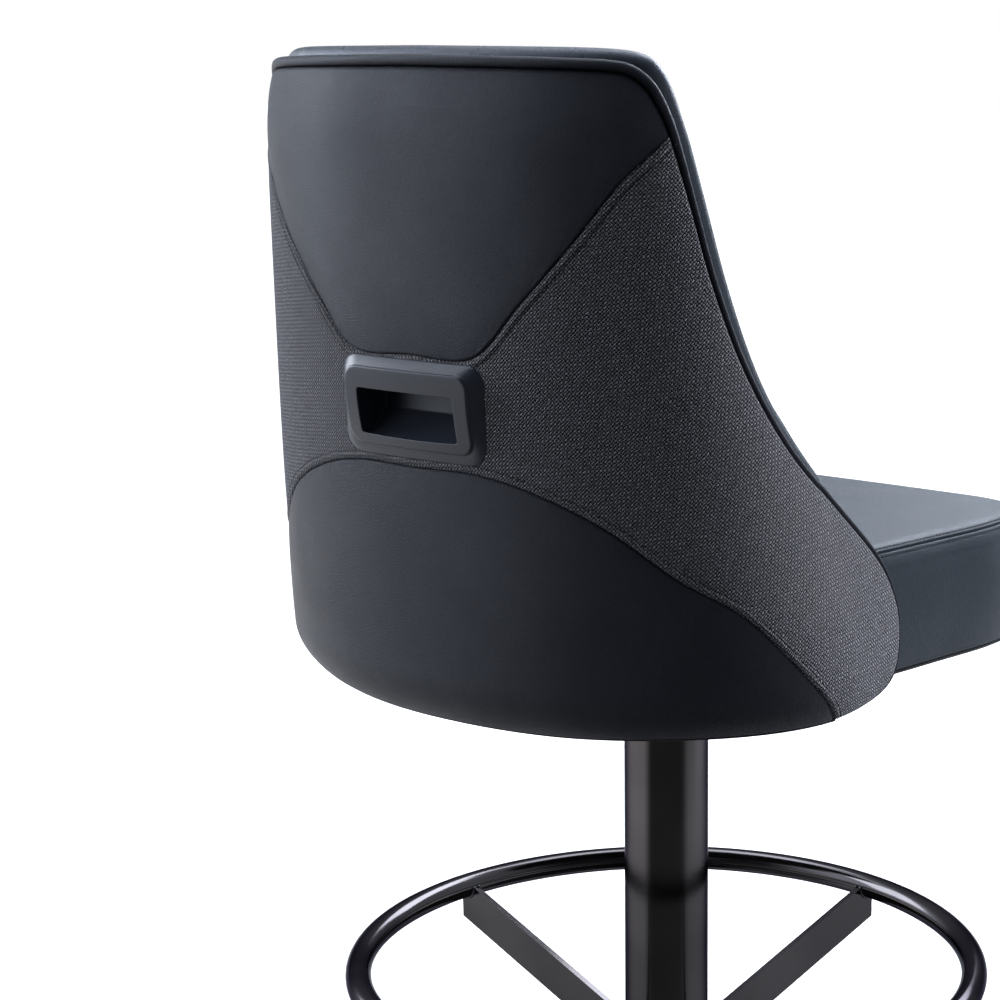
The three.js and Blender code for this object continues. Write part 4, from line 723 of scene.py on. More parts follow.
rim, wing_edge, crest = smooth_curve(RIM), smooth_curve(WING_EDGE), smooth_curve(CREST)
upper_seam, lower_seam = smooth_curve(UPPER_SEAM), smooth_curve(LOWER_SEAM)
upper_end, edge_at_upper = crossing(upper_seam, wing_edge)
lower_end, rim_at_lower = crossing(lower_seam, rim)
upper_seam = evenly(upper_seam[: upper_end + 1], CURVE_SAMPLES)
lower_seam = evenly(lower_seam[: lower_end + 1], CURVE_SAMPLES)
print("seams end at girth", round(upper_seam[-1, 0], 3), "and", round(lower_seam[-1, 0], 3))

# %% [markdown]
# ## The outer covers
# Two leather panels and a cloth panel between them are sewn together and pulled over the shell. A
# box-cut mesh would show flat joints, so each panel is a Coons patch: a grid whose four sides are
# the seams themselves. Its rows crowd together beside a seam, where the cover rolls into it in a
# quarter circle, and the padding under the cover lifts it a little away from the seam.

# %% Panel grids
SEAM_ROLL = 0.0022
EDGE_ROLL = 0.0034


def roll_steps(radius):
    """Distances from a seam that sample its quarter circle at even angles, then open out."""
    angle = np.linspace(0, math.pi / 2, 7)
    beyond = np.array([6, 12, 18, 24, 30, 36, 42, 48, 55, 64, 78, 100]) * 1e-4
    return np.concatenate([radius * (1 - np.cos(angle)), radius + beyond])


def coons(foot, edge, top, s, t):
    """The patch between a foot, a side edge and a top: both ruled surfaces less their corners."""
    s, t = np.broadcast_arrays(s, t)
    centre = foot[0] * (1 - t[..., None]) + top[0] * t[..., None]
    corner = foot[-1] * (1 - t[..., None]) + top[-1] * t[..., None]
    rows = along(foot, s) * (1 - t[..., None]) + along(top, s) * t[..., None]
    columns = centre * (1 - s[..., None]) + along(edge, t) * s[..., None]
    return rows + columns - centre * (1 - s[..., None]) - corner * s[..., None]


def crowded(length, near, count):
    """Shares of a length: close steps near both ends, and even ones between. Lengths may be many."""
    length = np.atleast_1d(length)
    near = near[:, None] * np.minimum(1, 0.40 * length / near[-1])[None]
    near = near / length
    middle = np.linspace(0, 1, count + 2)[1:-1, None] * (1 - 2 * near[-1]) + near[-1]
    return np.concatenate([near, middle, 1 - near[::-1]])


def both_sides(half):
    """Column places from -1 to 1, given those from 0 to 1."""
    return np.concatenate([-half[:0:-1], half])


def panel_places(foot, edge, top, half_columns, rows, roll, side_roll=None):
    """Girth and share of height on a panel's grid, over both halves of the back."""
    half = np.linspace(0, 1, half_columns)
    if side_roll is not None:
        width = path_length(wall_point(*along(foot, half).T))[-1]
        near = roll_steps(side_roll) / width
        half = np.concatenate([np.linspace(0, 1 - near[-1], half_columns)[:-1], 1 - near[::-1]])
    side = both_sides(half)
    even = coons(foot, edge, top, np.abs(side)[None], np.linspace(0, 1, 40)[:, None])
    even_points = wall_point(even[..., 0], even[..., 1])
    lengths = np.maximum(np.linalg.norm(np.diff(even_points, axis=0), axis=-1).sum(axis=0), 1e-5)
    places = coons(foot, edge, top, np.abs(side)[None], crowded(lengths, roll_steps(roll), rows))
    return places[..., 0] * np.sign(side)[None], places[..., 1]


# %% Distances from seams, and the profile beside them
def distance_to(points, curve):
    """The distance from each point to a curve that is given by close samples."""
    flat = points.reshape(-1, 3)
    tangent = unit(np.gradient(curve, axis=0))
    nearest = np.concatenate([
        np.argmin((block**2).sum(1)[:, None] + (curve**2).sum(1)[None] - 2 * block @ curve.T, axis=1)
        for block in np.array_split(flat, 12)
    ])
    gap = flat - curve[nearest]
    beside = gap - (gap * tangent[nearest]).sum(1)[:, None] * tangent[nearest]
    return np.linalg.norm(beside, axis=1).reshape(points.shape[:-1])


def rolled(distance, radius):
    """The quarter circle by which a cover rolls into a seam: 0 past the radius, -radius at it."""
    inside = np.clip(radius - distance, 0, radius)
    return np.sqrt(np.maximum(radius**2 - inside**2, 0)) - radius


def ridge(distance, place, width):
    """A soft ridge of height 1 at a distance from a seam."""
    return np.exp(-(((distance - place) / width) ** 2))


def on_wall(curve):
    """A curve's points in space over both halves of the back."""
    half = wall_point(curve[:, 0], curve[:, 1])
    return np.concatenate([half[::-1] * (-1, 1, 1), half])


rim_line, wing_line, crest_line = on_wall(rim), on_wall(wing_edge), on_wall(crest)
left_wing, right_wing = wing_line[:CURVE_SAMPLES], wing_line[CURVE_SAMPLES:]
upper_line, lower_line = on_wall(upper_seam), on_wall(lower_seam)


def edge_distance(points):
    """The distance to the nearest stretch of the shell's outer edge."""
    lines = (rim_line, left_wing, right_wing, crest_line)
    return np.min([distance_to(points, line) for line in lines], axis=0)


# %% [markdown]
# The leather panels are lifted about a millimetre and a half by their padding. Beside a seam the
# needle has drawn faint puckers into them. The cloth carries a hem along its seams: a soft ridge,
# then a shallow groove where it is topstitched down.

# %% Build the three covers
CREST_ROLL = 0.0070
CREST_ROLL_REACH = 0.055
LEATHER_LIFT = 0.0016
CLOTH_LIFT = 0.0010
PUCKER_PITCH = 0.0125
PUCKER_DEPTH = 0.00016


def crest_roll(points):
    """How far the padding draws in towards the crest: a parabola over its reach."""
    return CREST_ROLL * np.clip(1 - distance_to(points, crest_line) / CREST_ROLL_REACH, 0, 1) ** 2


def leather_out(girth, share, seam_gap, edge_gap):
    """How far leather stands out from the wall: its rolls, its lift and its puckers."""
    lift = LEATHER_LIFT * (1 - np.exp(-np.minimum(seam_gap, edge_gap) / 0.016))
    lengths = wall_lengths(girth, share, 24)
    phase = 2 * math.pi * (lengths[..., 0] + 0.6 * lengths[..., 1]) / PUCKER_PITCH
    pucker = PUCKER_DEPTH * np.sin(phase + 2.1 * np.sin(0.37 * phase)) * np.exp(-seam_gap / 0.007)
    return rolled(seam_gap, SEAM_ROLL) + rolled(edge_gap, EDGE_ROLL) + lift + pucker


def cloth_out(girth, share, seam_gap, edge_gap):
    """How far the cloth stands out: its rolls, its lift, and the hem's ridge and groove."""
    lift = CLOTH_LIFT * (1 - np.exp(-np.minimum(seam_gap, edge_gap) / 0.014))
    hem = 0.0007 * ridge(seam_gap, 0.0040, 0.0016) - 0.0006 * ridge(seam_gap, 0.0068, 0.0008)
    return rolled(seam_gap, SEAM_ROLL) + rolled(edge_gap, EDGE_ROLL) + lift + hem


HANDLE_LEVEL = 0.8270
HANDLE_HOLE = (0.058, 0.027)


def beside_handle(middle):
    """True for faces outside the handle's hole."""
    in_hole = (np.abs(middle[:, 0]) < HANDLE_HOLE[0]) & (np.abs(middle[:, 2] - HANDLE_LEVEL) < HANDLE_HOLE[1])
    return ~(in_hole & (middle[:, 1] > 0))


def cover_panel(name, places, seams, form, opening=False):
    """A cover's mesh over its grid, with the hole for the handle where it has one."""
    girth, share = places
    flat = wall_point(girth, share)
    seam_gap = np.min([distance_to(flat, line) for line in seams], axis=0)
    points = wall(girth, share, form(girth, share, seam_gap, edge_distance(flat)) - crest_roll(flat))
    faces = grid_faces(*girth.shape)
    if opening:
        faces = faces[beside_handle(points.reshape(-1, 3)[faces].mean(axis=1))]
    return new_piece(name, points, faces, wall_normal(girth, share), wall_lengths(girth, share), weld=True)


cloth_edge = evenly(np.concatenate([rim[rim_at_lower:], wing_edge[1: edge_at_upper + 1]]), CURVE_SAMPLES)
upper_edge = evenly(wing_edge[edge_at_upper:], CURVE_SAMPLES)
lower_rim = evenly(rim[: rim_at_lower + 1], CURVE_SAMPLES)
lower_tip = np.repeat(lower_seam[-1:], CURVE_SAMPLES, axis=0)

upper_cover = cover_panel(
    "upper_cover", panel_places(upper_seam, upper_edge, crest, 110, 40, SEAM_ROLL, EDGE_ROLL),
    [upper_line], leather_out)
cloth_cover = cover_panel(
    "cloth_cover", panel_places(lower_seam, cloth_edge, upper_seam, 130, 56, SEAM_ROLL, EDGE_ROLL),
    [upper_line, lower_line], cloth_out, opening=True)
lower_cover = cover_panel(
    "lower_cover", panel_places(lower_rim, lower_tip, lower_seam, 130, 44, SEAM_ROLL),
    [lower_line], leather_out)
fit(upper_cover, "seat", outer_leather, ["upper_leather_cover"])
fit(cloth_cover, "seat", back_weave, ["fabric_cover"])
fit(lower_cover, "seat", outer_leather, ["lower_leather_cover"])

# %% [markdown]
# The panels are joined by a lockstitch at the bottom of the roll, which is not drawn. The hem of the
# cloth is topstitched in its groove, in a row beside each seam.

# %% Stitches of the covers
def beside(curve, distance, out):
    """A path on the wall at a distance up from a curve, with its normals, over both halves."""
    half = np.concatenate([curve[:0:-1] * (-1, 1), curve])
    girth, share = half[:, 0], half[:, 1]
    places, normals = wall_point(girth, share), wall_normal(girth, share)
    upward = unit(np.cross(unit(np.gradient(places, axis=0)), normals))
    return places + upward * distance + normals * out, normals


HEM_STITCH = dict(pitch=0.0046, length=0.0034, radius=0.00038, proud=0.0002)
rows = []
for curve, side in ((lower_seam, 1), (upper_seam, -1)):
    path, normals = beside(curve, side * 0.0068, CLOTH_LIFT * 0.5 - 0.0004)
    rows.append(stitch_row(path, normals, **HEM_STITCH))
points, faces = joined(rows)
cover_stitches = new_piece("cover_stitches", points, faces)
fit(cover_stitches, "seat", thread_black)

# %% [markdown]
# ## The wrapped shell
# Under the covers the bent shell is a slab with a lining on its inner face. Its edge shows between
# the welt and the inner cushion, so it is wrapped in black leather. It is two sheets over the same
# patch of wall, joined round their border, with a hole where the handle's pocket passes through.

# %% Slabs between two sheets
def slab(name, outer, inner, kept=None):
    """Two sheets of the same grid joined round their border into one closed skin."""
    rows_count, columns_count = outer.shape[:2]
    total = rows_count * columns_count
    sheet = grid_faces(rows_count, columns_count)
    sheet = sheet if kept is None else sheet[kept(outer.reshape(-1, 3)[sheet].mean(axis=1))]
    index = np.arange(total).reshape(rows_count, columns_count)
    border = np.concatenate([index[0], index[1:, -1], index[-1, -2::-1], index[-2:0:-1, 0]])
    ahead = np.roll(border, -1)
    skirt = np.stack([border, border + total, ahead + total, ahead], axis=-1)
    points = np.concatenate([outer.reshape(-1, 3), inner.reshape(-1, 3)])
    piece = new_piece(name, points, np.concatenate([sheet, sheet[:, ::-1] + total, skirt]))
    work = bmesh.new()
    work.from_mesh(piece.data)
    bmesh.ops.remove_doubles(work, verts=work.verts, dist=1e-5)
    bmesh.ops.recalc_face_normals(work, faces=work.faces)
    work.to_mesh(piece.data)
    work.free()
    return piece


CORE_OUTER, CORE_INNER = 0.0046, 0.0181
girth, share = panel_places(rim, wing_edge, crest, 80, 60, SEAM_ROLL)
flat = wall_point(girth, share)
core_roll = crest_roll(flat)
core_outside = wall(girth, share, -CORE_OUTER - core_roll)
core_inside = wall(girth, share, -CORE_INNER + 0 * girth)
shell_core = slab("shell_core", core_outside, core_inside, beside_handle)
fit(shell_core, "seat", lining_felt, ["back_shell", "back_lining"])

# %% [markdown]
# ## The welt
# A leather cord is sewn along the shell's edge, from one lower corner over the crest to the other,
# and stands a little ahead of the covers. It is a tube carried along the edge, and short puckers
# ring it where its cover is drawn round the curve. It is thickest over the crest, thinner down
# the wings, and grows thin towards the lower corners. Over the crest's rear a narrow slit stays
# open between it and the upper leather.

# %% Welt, wrap and rim binding
WELT_RADIUS = 0.0042
WELT_GAP = 0.0004
WELT_INSET = 0.0034
# Shares of the back's height, and the welt's thickness there as a share of the full one
WELT_SHARES = [0, 0.14, 0.28, 0.80, 0.96, 1.0]
WELT_SIZES = [0.30, 0.38, 0.60, 0.66, 0.95, 1.0]
WELT_STEPS = 1500
BINDING_RADIUS = 0.0017
WRAP_OUTER, WRAP_INNER = 0.0017, 0.0190

welt_half = smooth_curve(CREST + WING_EDGE[-2::-1] + [(1, 0.028), (0.915, 0.019)])
welt_places = np.concatenate([welt_half[:0:-1] * (-1, 1), welt_half])
edge_points = wall_point(welt_places[:, 0], welt_places[:, 1])
edge_normals = wall_normal(welt_places[:, 0], welt_places[:, 1])
edge_up = unit(np.cross(unit(np.gradient(edge_points, axis=0)), edge_normals))
edge_roll = crest_roll(edge_points)[:, None]

slimness = np.interp(welt_places[:, 1], WELT_SHARES, WELT_SIZES)
welt_rise = (WELT_RADIUS + WELT_GAP) * slimness[:, None]
welt_path = edge_points + edge_up * welt_rise - edge_normals * (WELT_INSET + edge_roll)
welt_length = path_length(welt_path)
slimness = np.interp(np.linspace(0, 1, WELT_STEPS), welt_length / welt_length[-1], slimness)
welt_path, welt_normals = evenly(welt_path, WELT_STEPS), unit(evenly(edge_normals, WELT_STEPS))
step = np.arange(WELT_STEPS)
puckered = 0.5 + 0.5 * np.sin(step * 0.021 + 2.2 * np.sin(step * 0.0047))
puckers = 0.012 * np.sin(step * 0.13) + 0.016 * puckered * np.sin(step * 1.9)
welt_radius = WELT_RADIUS * slimness * (1 + puckers)
welt = new_piece("welt", *tube(welt_path, welt_normals, welt_radius, 18))
fit(welt, "seat", outer_leather, ["edge_welt"])

across_share = np.linspace(0, 1, 9)[:, None, None]
wrap_depth = (WRAP_OUTER + edge_roll)[None] * (1 - across_share) + WRAP_INNER * across_share
wrap_crown = 0.0012 - 0.0014 * across_share**4
wrap_points = edge_points[None] - edge_normals[None] * wrap_depth + edge_up[None] * wrap_crown
wrap_out = np.broadcast_to(edge_up, wrap_points.shape)
edge_wrap = new_piece("edge_wrap", wrap_points, grid_faces(9, len(edge_points)), wrap_out)
fit(edge_wrap, "seat", wrap_leather)

binding_half = smooth_curve(RIM[:5])
binding_places = np.concatenate([binding_half[:0:-1] * (-1, 1), binding_half])
binding_edge = wall_point(binding_places[:, 0], binding_places[:, 1])
binding_normals = wall_normal(binding_places[:, 0], binding_places[:, 1])
binding_up = unit(np.cross(unit(np.gradient(binding_edge, axis=0)), binding_normals))
binding_path = binding_edge - binding_up * BINDING_RADIUS * 0.7 - binding_normals * 0.0022
rim_tube = tube(evenly(binding_path, 400), unit(evenly(binding_normals, 400)), BINDING_RADIUS, 12)
rim_cord = new_piece("rim_cord", *rim_tube)
fit(rim_cord, "seat", binding_black, ["rim_binding"])

# %% [markdown]
# ## Padding as cloth
# Foam under leather is tight where it is sewn and full between the seams. The cover's mesh runs
# as cloth with air pressure in it and no gravity: the sewn points are pinned, the others swell.
# The result is written back into the mesh with its movement capped, so no simulation is left.

# %% Plump a cushion
def read_points(mesh):
    """A mesh's points as an array."""
    points = np.empty(len(mesh.vertices) * 3)
    mesh.vertices.foreach_get("co", points)
    return points.reshape(-1, 3)


def nearest_of(places, grid):
    """The point of a grid that lies nearest to each place."""
    flat_grid = grid.reshape(-1, 3)
    nearest = np.concatenate([
        np.argmin((block**2).sum(1)[:, None] + (flat_grid**2).sum(1)[None] - 2 * block @ flat_grid.T, axis=1)
        for block in np.array_split(places, 40)
    ])
    return flat_grid[nearest]


def plump(piece, sewn, pressure, cap, frames=20):
    """Swells a cushion from its sewn points (1) towards its free ones (0), by no more than cap."""
    start = read_points(piece.data)
    group = piece.vertex_groups.new(name="sewn")
    levels = np.round(np.clip(sewn, 0, 1) * 10).astype(int)
    for level in range(1, 11):
        group.add(np.flatnonzero(levels == level).tolist(), level / 10, "REPLACE")
    cloth = piece.modifiers.new("cloth", "CLOTH")
    cloth.settings.use_pressure = True
    cloth.settings.uniform_pressure_force = pressure
    cloth.settings.effector_weights.gravity = 0
    cloth.settings.vertex_group_mass = group.name
    cloth.settings.tension_stiffness = 40
    cloth.settings.compression_stiffness = 30
    cloth.settings.bending_stiffness = 8
    cloth.collision_settings.use_collision = False
    for step in range(1, frames + 1):
        bpy.context.scene.frame_set(step)
    swollen = piece.evaluated_get(bpy.context.evaluated_depsgraph_get())
    moved = read_points(swollen.data) - start
    size = np.linalg.norm(moved, axis=1, keepdims=True)
    moved *= np.minimum(1, cap / np.maximum(size, 1e-9))
    piece.modifiers.remove(cloth)
    piece.vertex_groups.remove(group)
    piece.data.vertices.foreach_set("co", (start + moved).ravel())
    piece.data.update()
    bpy.context.scene.frame_set(1)
    print(f"{piece.name} swelled by up to {np.linalg.norm(moved, axis=1).max() * 1000:.1f} mm")


# %% [markdown]
# ## The inner back cushion
# It is a curved pad with a bull-nosed border that stands past the shell's edge all round. Its
# front and rear are two sheets over the same patch of wall that meet in the middle of the border,
# so together they close. The front carries a sewn line all round, a hand's width of foam at the
# lumbar, and the rear has a dent where the handle's pocket comes through the shell.

# %% Build the back cushion
CUSHION_REAR = 0.0193
CUSHION_BORDER = 0.0200
CUSHION_NOSE = 0.0095
CUSHION_FULLNESS = 0.0270
LUMBAR_FULLNESS = 0.0150
BORDER_SEAM = 0.0200
STITCH_OFFSET = 0.0040
CUSHION_LIFT_SHARE = 0.002
POCKET_DENT = 0.0130

cushion_foot = smooth_curve(CUSHION_FOOT)
cushion_edge = smooth_curve(CUSHION_EDGE)
cushion_crest = smooth_curve(CUSHION_CREST)
nose_steps = np.concatenate([
    CUSHION_NOSE * (1 - np.cos(np.linspace(0, math.pi / 2, 7))),
    [0.0115, 0.0138, 0.0152, 0.0160, 0.0168, 0.0182, 0.0192, 0.0196, 0.0200, 0.0204, 0.0208, 0.0218, 0.0232,
     0.0240, 0.0248, 0.0265, 0.0300, 0.0345],
])


def cushion_places(half_columns, rows):
    """Girth and share on the cushion's grid, with close rows and columns along its border."""
    width = path_length(wall_point(*along(cushion_foot, np.linspace(0, 1, 200)).T))[-1]
    near = nose_steps / width
    half = np.concatenate([np.linspace(0, 1 - near[-1], half_columns)[:-1], 1 - near[::-1]])
    side = both_sides(half)
    even_rows = np.linspace(0, 1, 40)[:, None]
    even = coons(cushion_foot, cushion_edge, cushion_crest, np.abs(side)[None], even_rows)
    lengths = np.linalg.norm(np.diff(wall_point(even[..., 0], even[..., 1]), axis=0), axis=-1).sum(axis=0)
    t = crowded(lengths, nose_steps, rows)
    measured = half, lengths[len(half) - 1:], width
    places = coons(cushion_foot, cushion_edge, cushion_crest, np.abs(side)[None], t)
    girth, share = places[..., 0] * np.sign(side)[None], places[..., 1] + CUSHION_LIFT_SHARE
    return girth, share, np.abs(side)[None] + 0 * t, t, measured


girth, share, side_share, up_share, measured = cushion_places(46, 50)
cushion_sides, cushion_lengths, cushion_width = measured
flat = wall(girth, share, -CUSHION_REAR + 0 * girth)
CORNER_DRAW = 0.011


def corner_draw(places):
    """How far the sharp lower corners are drawn in along their bisectors: d * exp(-reach / d).
    It takes their tips off, and seen from the side they still look pointed."""
    moves = np.zeros_like(places)
    for column, beside in ((0, 4), (-1, -5)):
        tip = places[0, column]
        inward = unit(unit(places[0, beside] - tip) + unit(places[4, column] - tip))
        reach = np.linalg.norm(places - tip, axis=-1, keepdims=True)
        moves += inward * CORNER_DRAW * np.exp(-reach / CORNER_DRAW)
    return moves


drawn_in = corner_draw(flat)
flat = flat + drawn_in
border_line = np.concatenate([flat[0], flat[1:, -1], flat[-1, -2::-1], flat[-2:0:-1, 0]])
border_line = evenly(np.concatenate([border_line, border_line[:1]]), 2600)
border_gap = distance_to(flat, border_line)


def front_depth(gap, side, up):
    """How deep the front lies: the border's nose is a quarter circle, then the filling rises as
    1 - exp(-distance / reach), more at the lumbar, less the valley of the sewn line."""
    nose = np.sqrt(1 - np.clip(1 - gap / CUSHION_NOSE, 0, 1) ** 2)
    swell = 1 - np.exp(-np.maximum(gap - BORDER_SEAM, 0) / 0.028)
    lumbar = np.sin(math.pi * np.minimum(up * 1.35, 1)) * np.cos(side * math.pi / 2) ** 1.2
    valley = 0.0022 * ridge(gap, BORDER_SEAM, 0.0011)
    for offset in (-STITCH_OFFSET, STITCH_OFFSET):
        valley = valley + 0.0005 * ridge(gap, BORDER_SEAM + offset, 0.0011)
    filling = (CUSHION_FULLNESS + LUMBAR_FULLNESS * lumbar) * swell
    return CUSHION_REAR + CUSHION_BORDER / 2 * (1 + nose) + filling - valley


nose = np.sqrt(1 - np.clip(1 - border_gap / CUSHION_NOSE, 0, 1) ** 2)
middle = wall_point(girth, share)
in_pocket = np.clip((0.088 - np.abs(middle[..., 0])) / 0.018, 0, 1)
in_pocket = in_pocket * np.clip((0.046 - np.abs(middle[..., 2] - 0.832)) / 0.014, 0, 1) * (middle[..., 1] > 0)
rear_depth = CUSHION_REAR + CUSHION_BORDER / 2 * (1 - nose) + POCKET_DENT * in_pocket
front = wall(girth, share, -front_depth(border_gap, side_share, up_share)) + drawn_in
rear = wall(girth, share, -rear_depth) + drawn_in
back_pad = slab("back_pad", front, rear)
place = read_points(back_pad.data)
gap = distance_to(place, border_line)
on_front = np.linalg.norm(place - nearest_of(place, rear), axis=1) > 0.010
free = np.clip((gap - BORDER_SEAM - 0.010) / 0.05, 0, 1) * on_front
plump(back_pad, 1 - free, 3.0, 0.008)
fit(back_pad, "seat", pad_leather, ["back_cushion"])

# %% [markdown]
# Both sides of the sewn line are topstitched. The two rows lie on the cushion's front at equal
# distances from its border: up the sides they keep a column of the patch, and along the top and
# the foot a share of its height.

# %% Stitches of the back cushion
def border_row(distance):
    """A closed path on the cushion's front at a distance in from its border, with its normals."""
    side_in = 1 - distance / cushion_width
    across = np.linspace(-side_in, side_in, 500)
    share_at = lambda side: distance / np.interp(np.abs(side), cushion_sides, cushion_lengths)
    climb = np.linspace(share_at(side_in), 1 - share_at(side_in), 400)
    side = np.concatenate([across, np.full(400, side_in), across[::-1], np.full(400, -side_in)])
    up = np.concatenate([share_at(across), climb, 1 - share_at(across[::-1]), climb[::-1]])
    places = coons(cushion_foot, cushion_edge, cushion_crest, np.abs(side), up)
    girth, share = places[:, 0] * np.sign(side), places[:, 1] + CUSHION_LIFT_SHARE
    depth = front_depth(np.full(len(side), distance), np.abs(side), up)
    return wall(girth, share, -depth), -wall_normal(girth, share)


PAD_STITCH = dict(pitch=0.0044, length=0.0032, radius=0.00040, proud=0.00022)
both_offsets = (-STITCH_OFFSET, STITCH_OFFSET)
rows = [stitch_row(*border_row(BORDER_SEAM + offset), **PAD_STITCH) for offset in both_offsets]
points, faces = joined(rows)
pad_stitches = new_piece("pad_stitches", points, faces)
fit(pad_stitches, "seat", thread_slate)
print("cushion border is", round(path_length(border_line)[-1], 3), "m long")

# %% [markdown]
# ## The seat cushion
# The seat is a block of foam on a board, with a side band and a top panel that meet in a twin-
# stitched seam on the rounded edge. The plan is a closed curve through a few shares of its size.
# Rings of that plan, moved in by an inset and set at a height, follow the profile from inside the
# skirt, under the edge, up the side, over the seam and across the crown to the middle.

# %% The seat's plan
SEAT_FRONT = 0.2280
SEAT_REAR = 0.2660
SEAT_HALF_WIDTH = 0.2660
SEAT_OUTLINE = [(0, 0), (0.56, 0.004), (0.8, 0.014), (0.92, 0.045), (0.98, 0.105), (1, 0.22), (0.968, 0.38),
                (0.93, 0.54), (0.89, 0.68), (0.81, 0.8), (0.64, 0.905), (0.34, 0.98), (0, 1)]
SEAT_COLUMNS = 360


def blend(start, end, start_knot, end_knot, t):
    """The point at t on a line that is at start at one knot and at end at the other."""
    span = end_knot - start_knot
    return (end_knot - t) / span * start + (t - start_knot) / span * end


def closed_curve(points, count):
    """The centripetal Catmull-Rom curve through a closed list of points, evenly spaced."""
    p = np.asarray(points, float)
    ring = np.concatenate([p[-1:], p, p[:2]])
    pieces = []
    for k in range(len(p)):
        a, b, c, d = ring[k: k + 4]
        spans = [np.linalg.norm(q - o) ** 0.5 for o, q in ((a, b), (b, c), (c, d))]
        at_a, at_b, at_c, at_d = np.concatenate([[0], np.cumsum(spans)])
        t = np.linspace(at_b, at_c, 40, endpoint=False)[:, None]
        ab, bc, cd = blend(a, b, at_a, at_b, t), blend(b, c, at_b, at_c, t), blend(c, d, at_c, at_d, t)
        pieces.append(blend(blend(ab, bc, at_a, at_c, t), blend(bc, cd, at_b, at_d, t), at_b, at_c, t))
    dense = np.concatenate(pieces)
    return evenly(np.concatenate([dense, dense[:1]]), count + 1)[:-1]


seat_half = [(x * SEAT_HALF_WIDTH, y * (SEAT_FRONT + SEAT_REAR) - SEAT_FRONT) for x, y in SEAT_OUTLINE]
seat_plan = closed_curve(seat_half + [(-x, y) for x, y in seat_half[-2:0:-1]], SEAT_COLUMNS)
plan_tangent = unit(np.roll(seat_plan, -1, axis=0) - np.roll(seat_plan, 1, axis=0))
plan_outward = np.stack([plan_tangent[:, 1], -plan_tangent[:, 0]], axis=-1)
print("seat plan is", round(path_length(seat_plan)[-1], 3), "m round")


def seat_ring(inset, height):
    """The plan moved in by an inset at a height, for arrays of both."""
    inset, height = np.broadcast_arrays(np.asarray(inset, float), np.asarray(height, float))
    flat_ring = seat_plan[None] - plan_outward[None] * inset.reshape(-1, 1, 1)
    level = np.broadcast_to(height.reshape(-1, 1, 1), (*flat_ring.shape[:2], 1))
    return np.concatenate([flat_ring, level], axis=-1)


# %% [markdown]
# The side band bulges a little between the board and the seam. The seam lies half-way round the
# edge: a narrow valley with a soft dimple on each side where the two rows of stitches pull.

# %% Build the seat cushion
SEAT_BOTTOM = 0.5970
SEAT_HOLLOW_TOP = 0.6142
SKIRT = 0.0090
HEM_RADIUS = 0.0035
SIDE_BULGE = 0.0042
SIDE_TOP = 0.6850
EDGE_RADIUS = 0.0200
SEAT_CROWN = 0.0060
SEAM_VALLEY = 0.0018

hem_turn = np.linspace(0, math.pi / 2, 6)
hem_inset = HEM_RADIUS * (1 - np.sin(hem_turn))
hem_height = SEAT_BOTTOM + HEM_RADIUS * (1 - np.cos(hem_turn))
side_share = np.linspace(0, 1, 22)[1:-1]
side_height = SEAT_BOTTOM + HEM_RADIUS + side_share * (SIDE_TOP - SEAT_BOTTOM - HEM_RADIUS)
side_inset = -SIDE_BULGE * np.sin(math.pi * side_share) ** 0.8
edge_angle = np.concatenate([
    np.linspace(0, 0.42, 6, endpoint=False),
    np.linspace(0.42, 1.15, 46, endpoint=False),
    np.linspace(1.15, math.pi / 2, 6),
])
seam_distance = (edge_angle - math.pi / 4) * EDGE_RADIUS
valley = SEAM_VALLEY * ridge(seam_distance, 0, 0.0010)
STITCH_DENT = 0.0004
stitch_dents = ridge(seam_distance, -STITCH_OFFSET, 0.0011) + ridge(seam_distance, STITCH_OFFSET, 0.0011)
valley += STITCH_DENT * stitch_dents
edge_reach = EDGE_RADIUS - valley
edge_inset = EDGE_RADIUS - edge_reach * np.cos(edge_angle)
edge_height = SIDE_TOP + edge_reach * np.sin(edge_angle)
profile_inset = np.concatenate([[SKIRT, SKIRT], hem_inset, side_inset, edge_inset])
profile_height = np.concatenate([[SEAT_HOLLOW_TOP, SEAT_BOTTOM], hem_height, side_height, edge_height])
seat_rings = seat_ring(profile_inset, profile_height)

crown_middle = np.array([0, (SEAT_REAR - SEAT_FRONT) / 2])
crown_share = np.linspace(1, 0, 44)[1:]
top_ring = seat_ring(EDGE_RADIUS, SIDE_TOP + EDGE_RADIUS)[0]
crown_flat = crown_middle + (top_ring[None, :, :2] - crown_middle) * crown_share[:, None, None]
crown_level = SIDE_TOP + EDGE_RADIUS + SEAT_CROWN * (1 - crown_share**2.6)
crown_height = np.broadcast_to(crown_level[:, None, None], (*crown_flat.shape[:2], 1))
crown_rings = np.concatenate([crown_flat, crown_height], axis=-1)
hollow_share = np.linspace(0, 1, 5)[:-1]
hollow_flat = crown_middle + (seat_rings[0][None, :, :2] - crown_middle) * hollow_share[:, None, None]
hollow_rings = np.concatenate([hollow_flat, np.full((*hollow_flat.shape[:2], 1), SEAT_HOLLOW_TOP)], axis=-1)
all_rings = np.concatenate([hollow_rings, seat_rings, crown_rings])
pad_faces = grid_faces(len(all_rings), SEAT_COLUMNS, wrap_columns=True)
seat_pad = new_piece("seat_pad", all_rings, pad_faces, weld=True)
place = read_points(seat_pad.data)
over_seam = place[:, 2] - (SIDE_TOP + EDGE_RADIUS * math.sin(math.pi / 4))
on_side = (place[:, 2] > SEAT_BOTTOM + 0.010) & (place[:, 2] < SIDE_TOP - 0.004)
on_top = np.clip((over_seam - 0.0042) / 0.004, 0, 1) * (place[:, 2] > SIDE_TOP)
height_share = np.clip((place[:, 2] - SEAT_BOTTOM) / (SIDE_TOP - SEAT_BOTTOM), 0, 1)
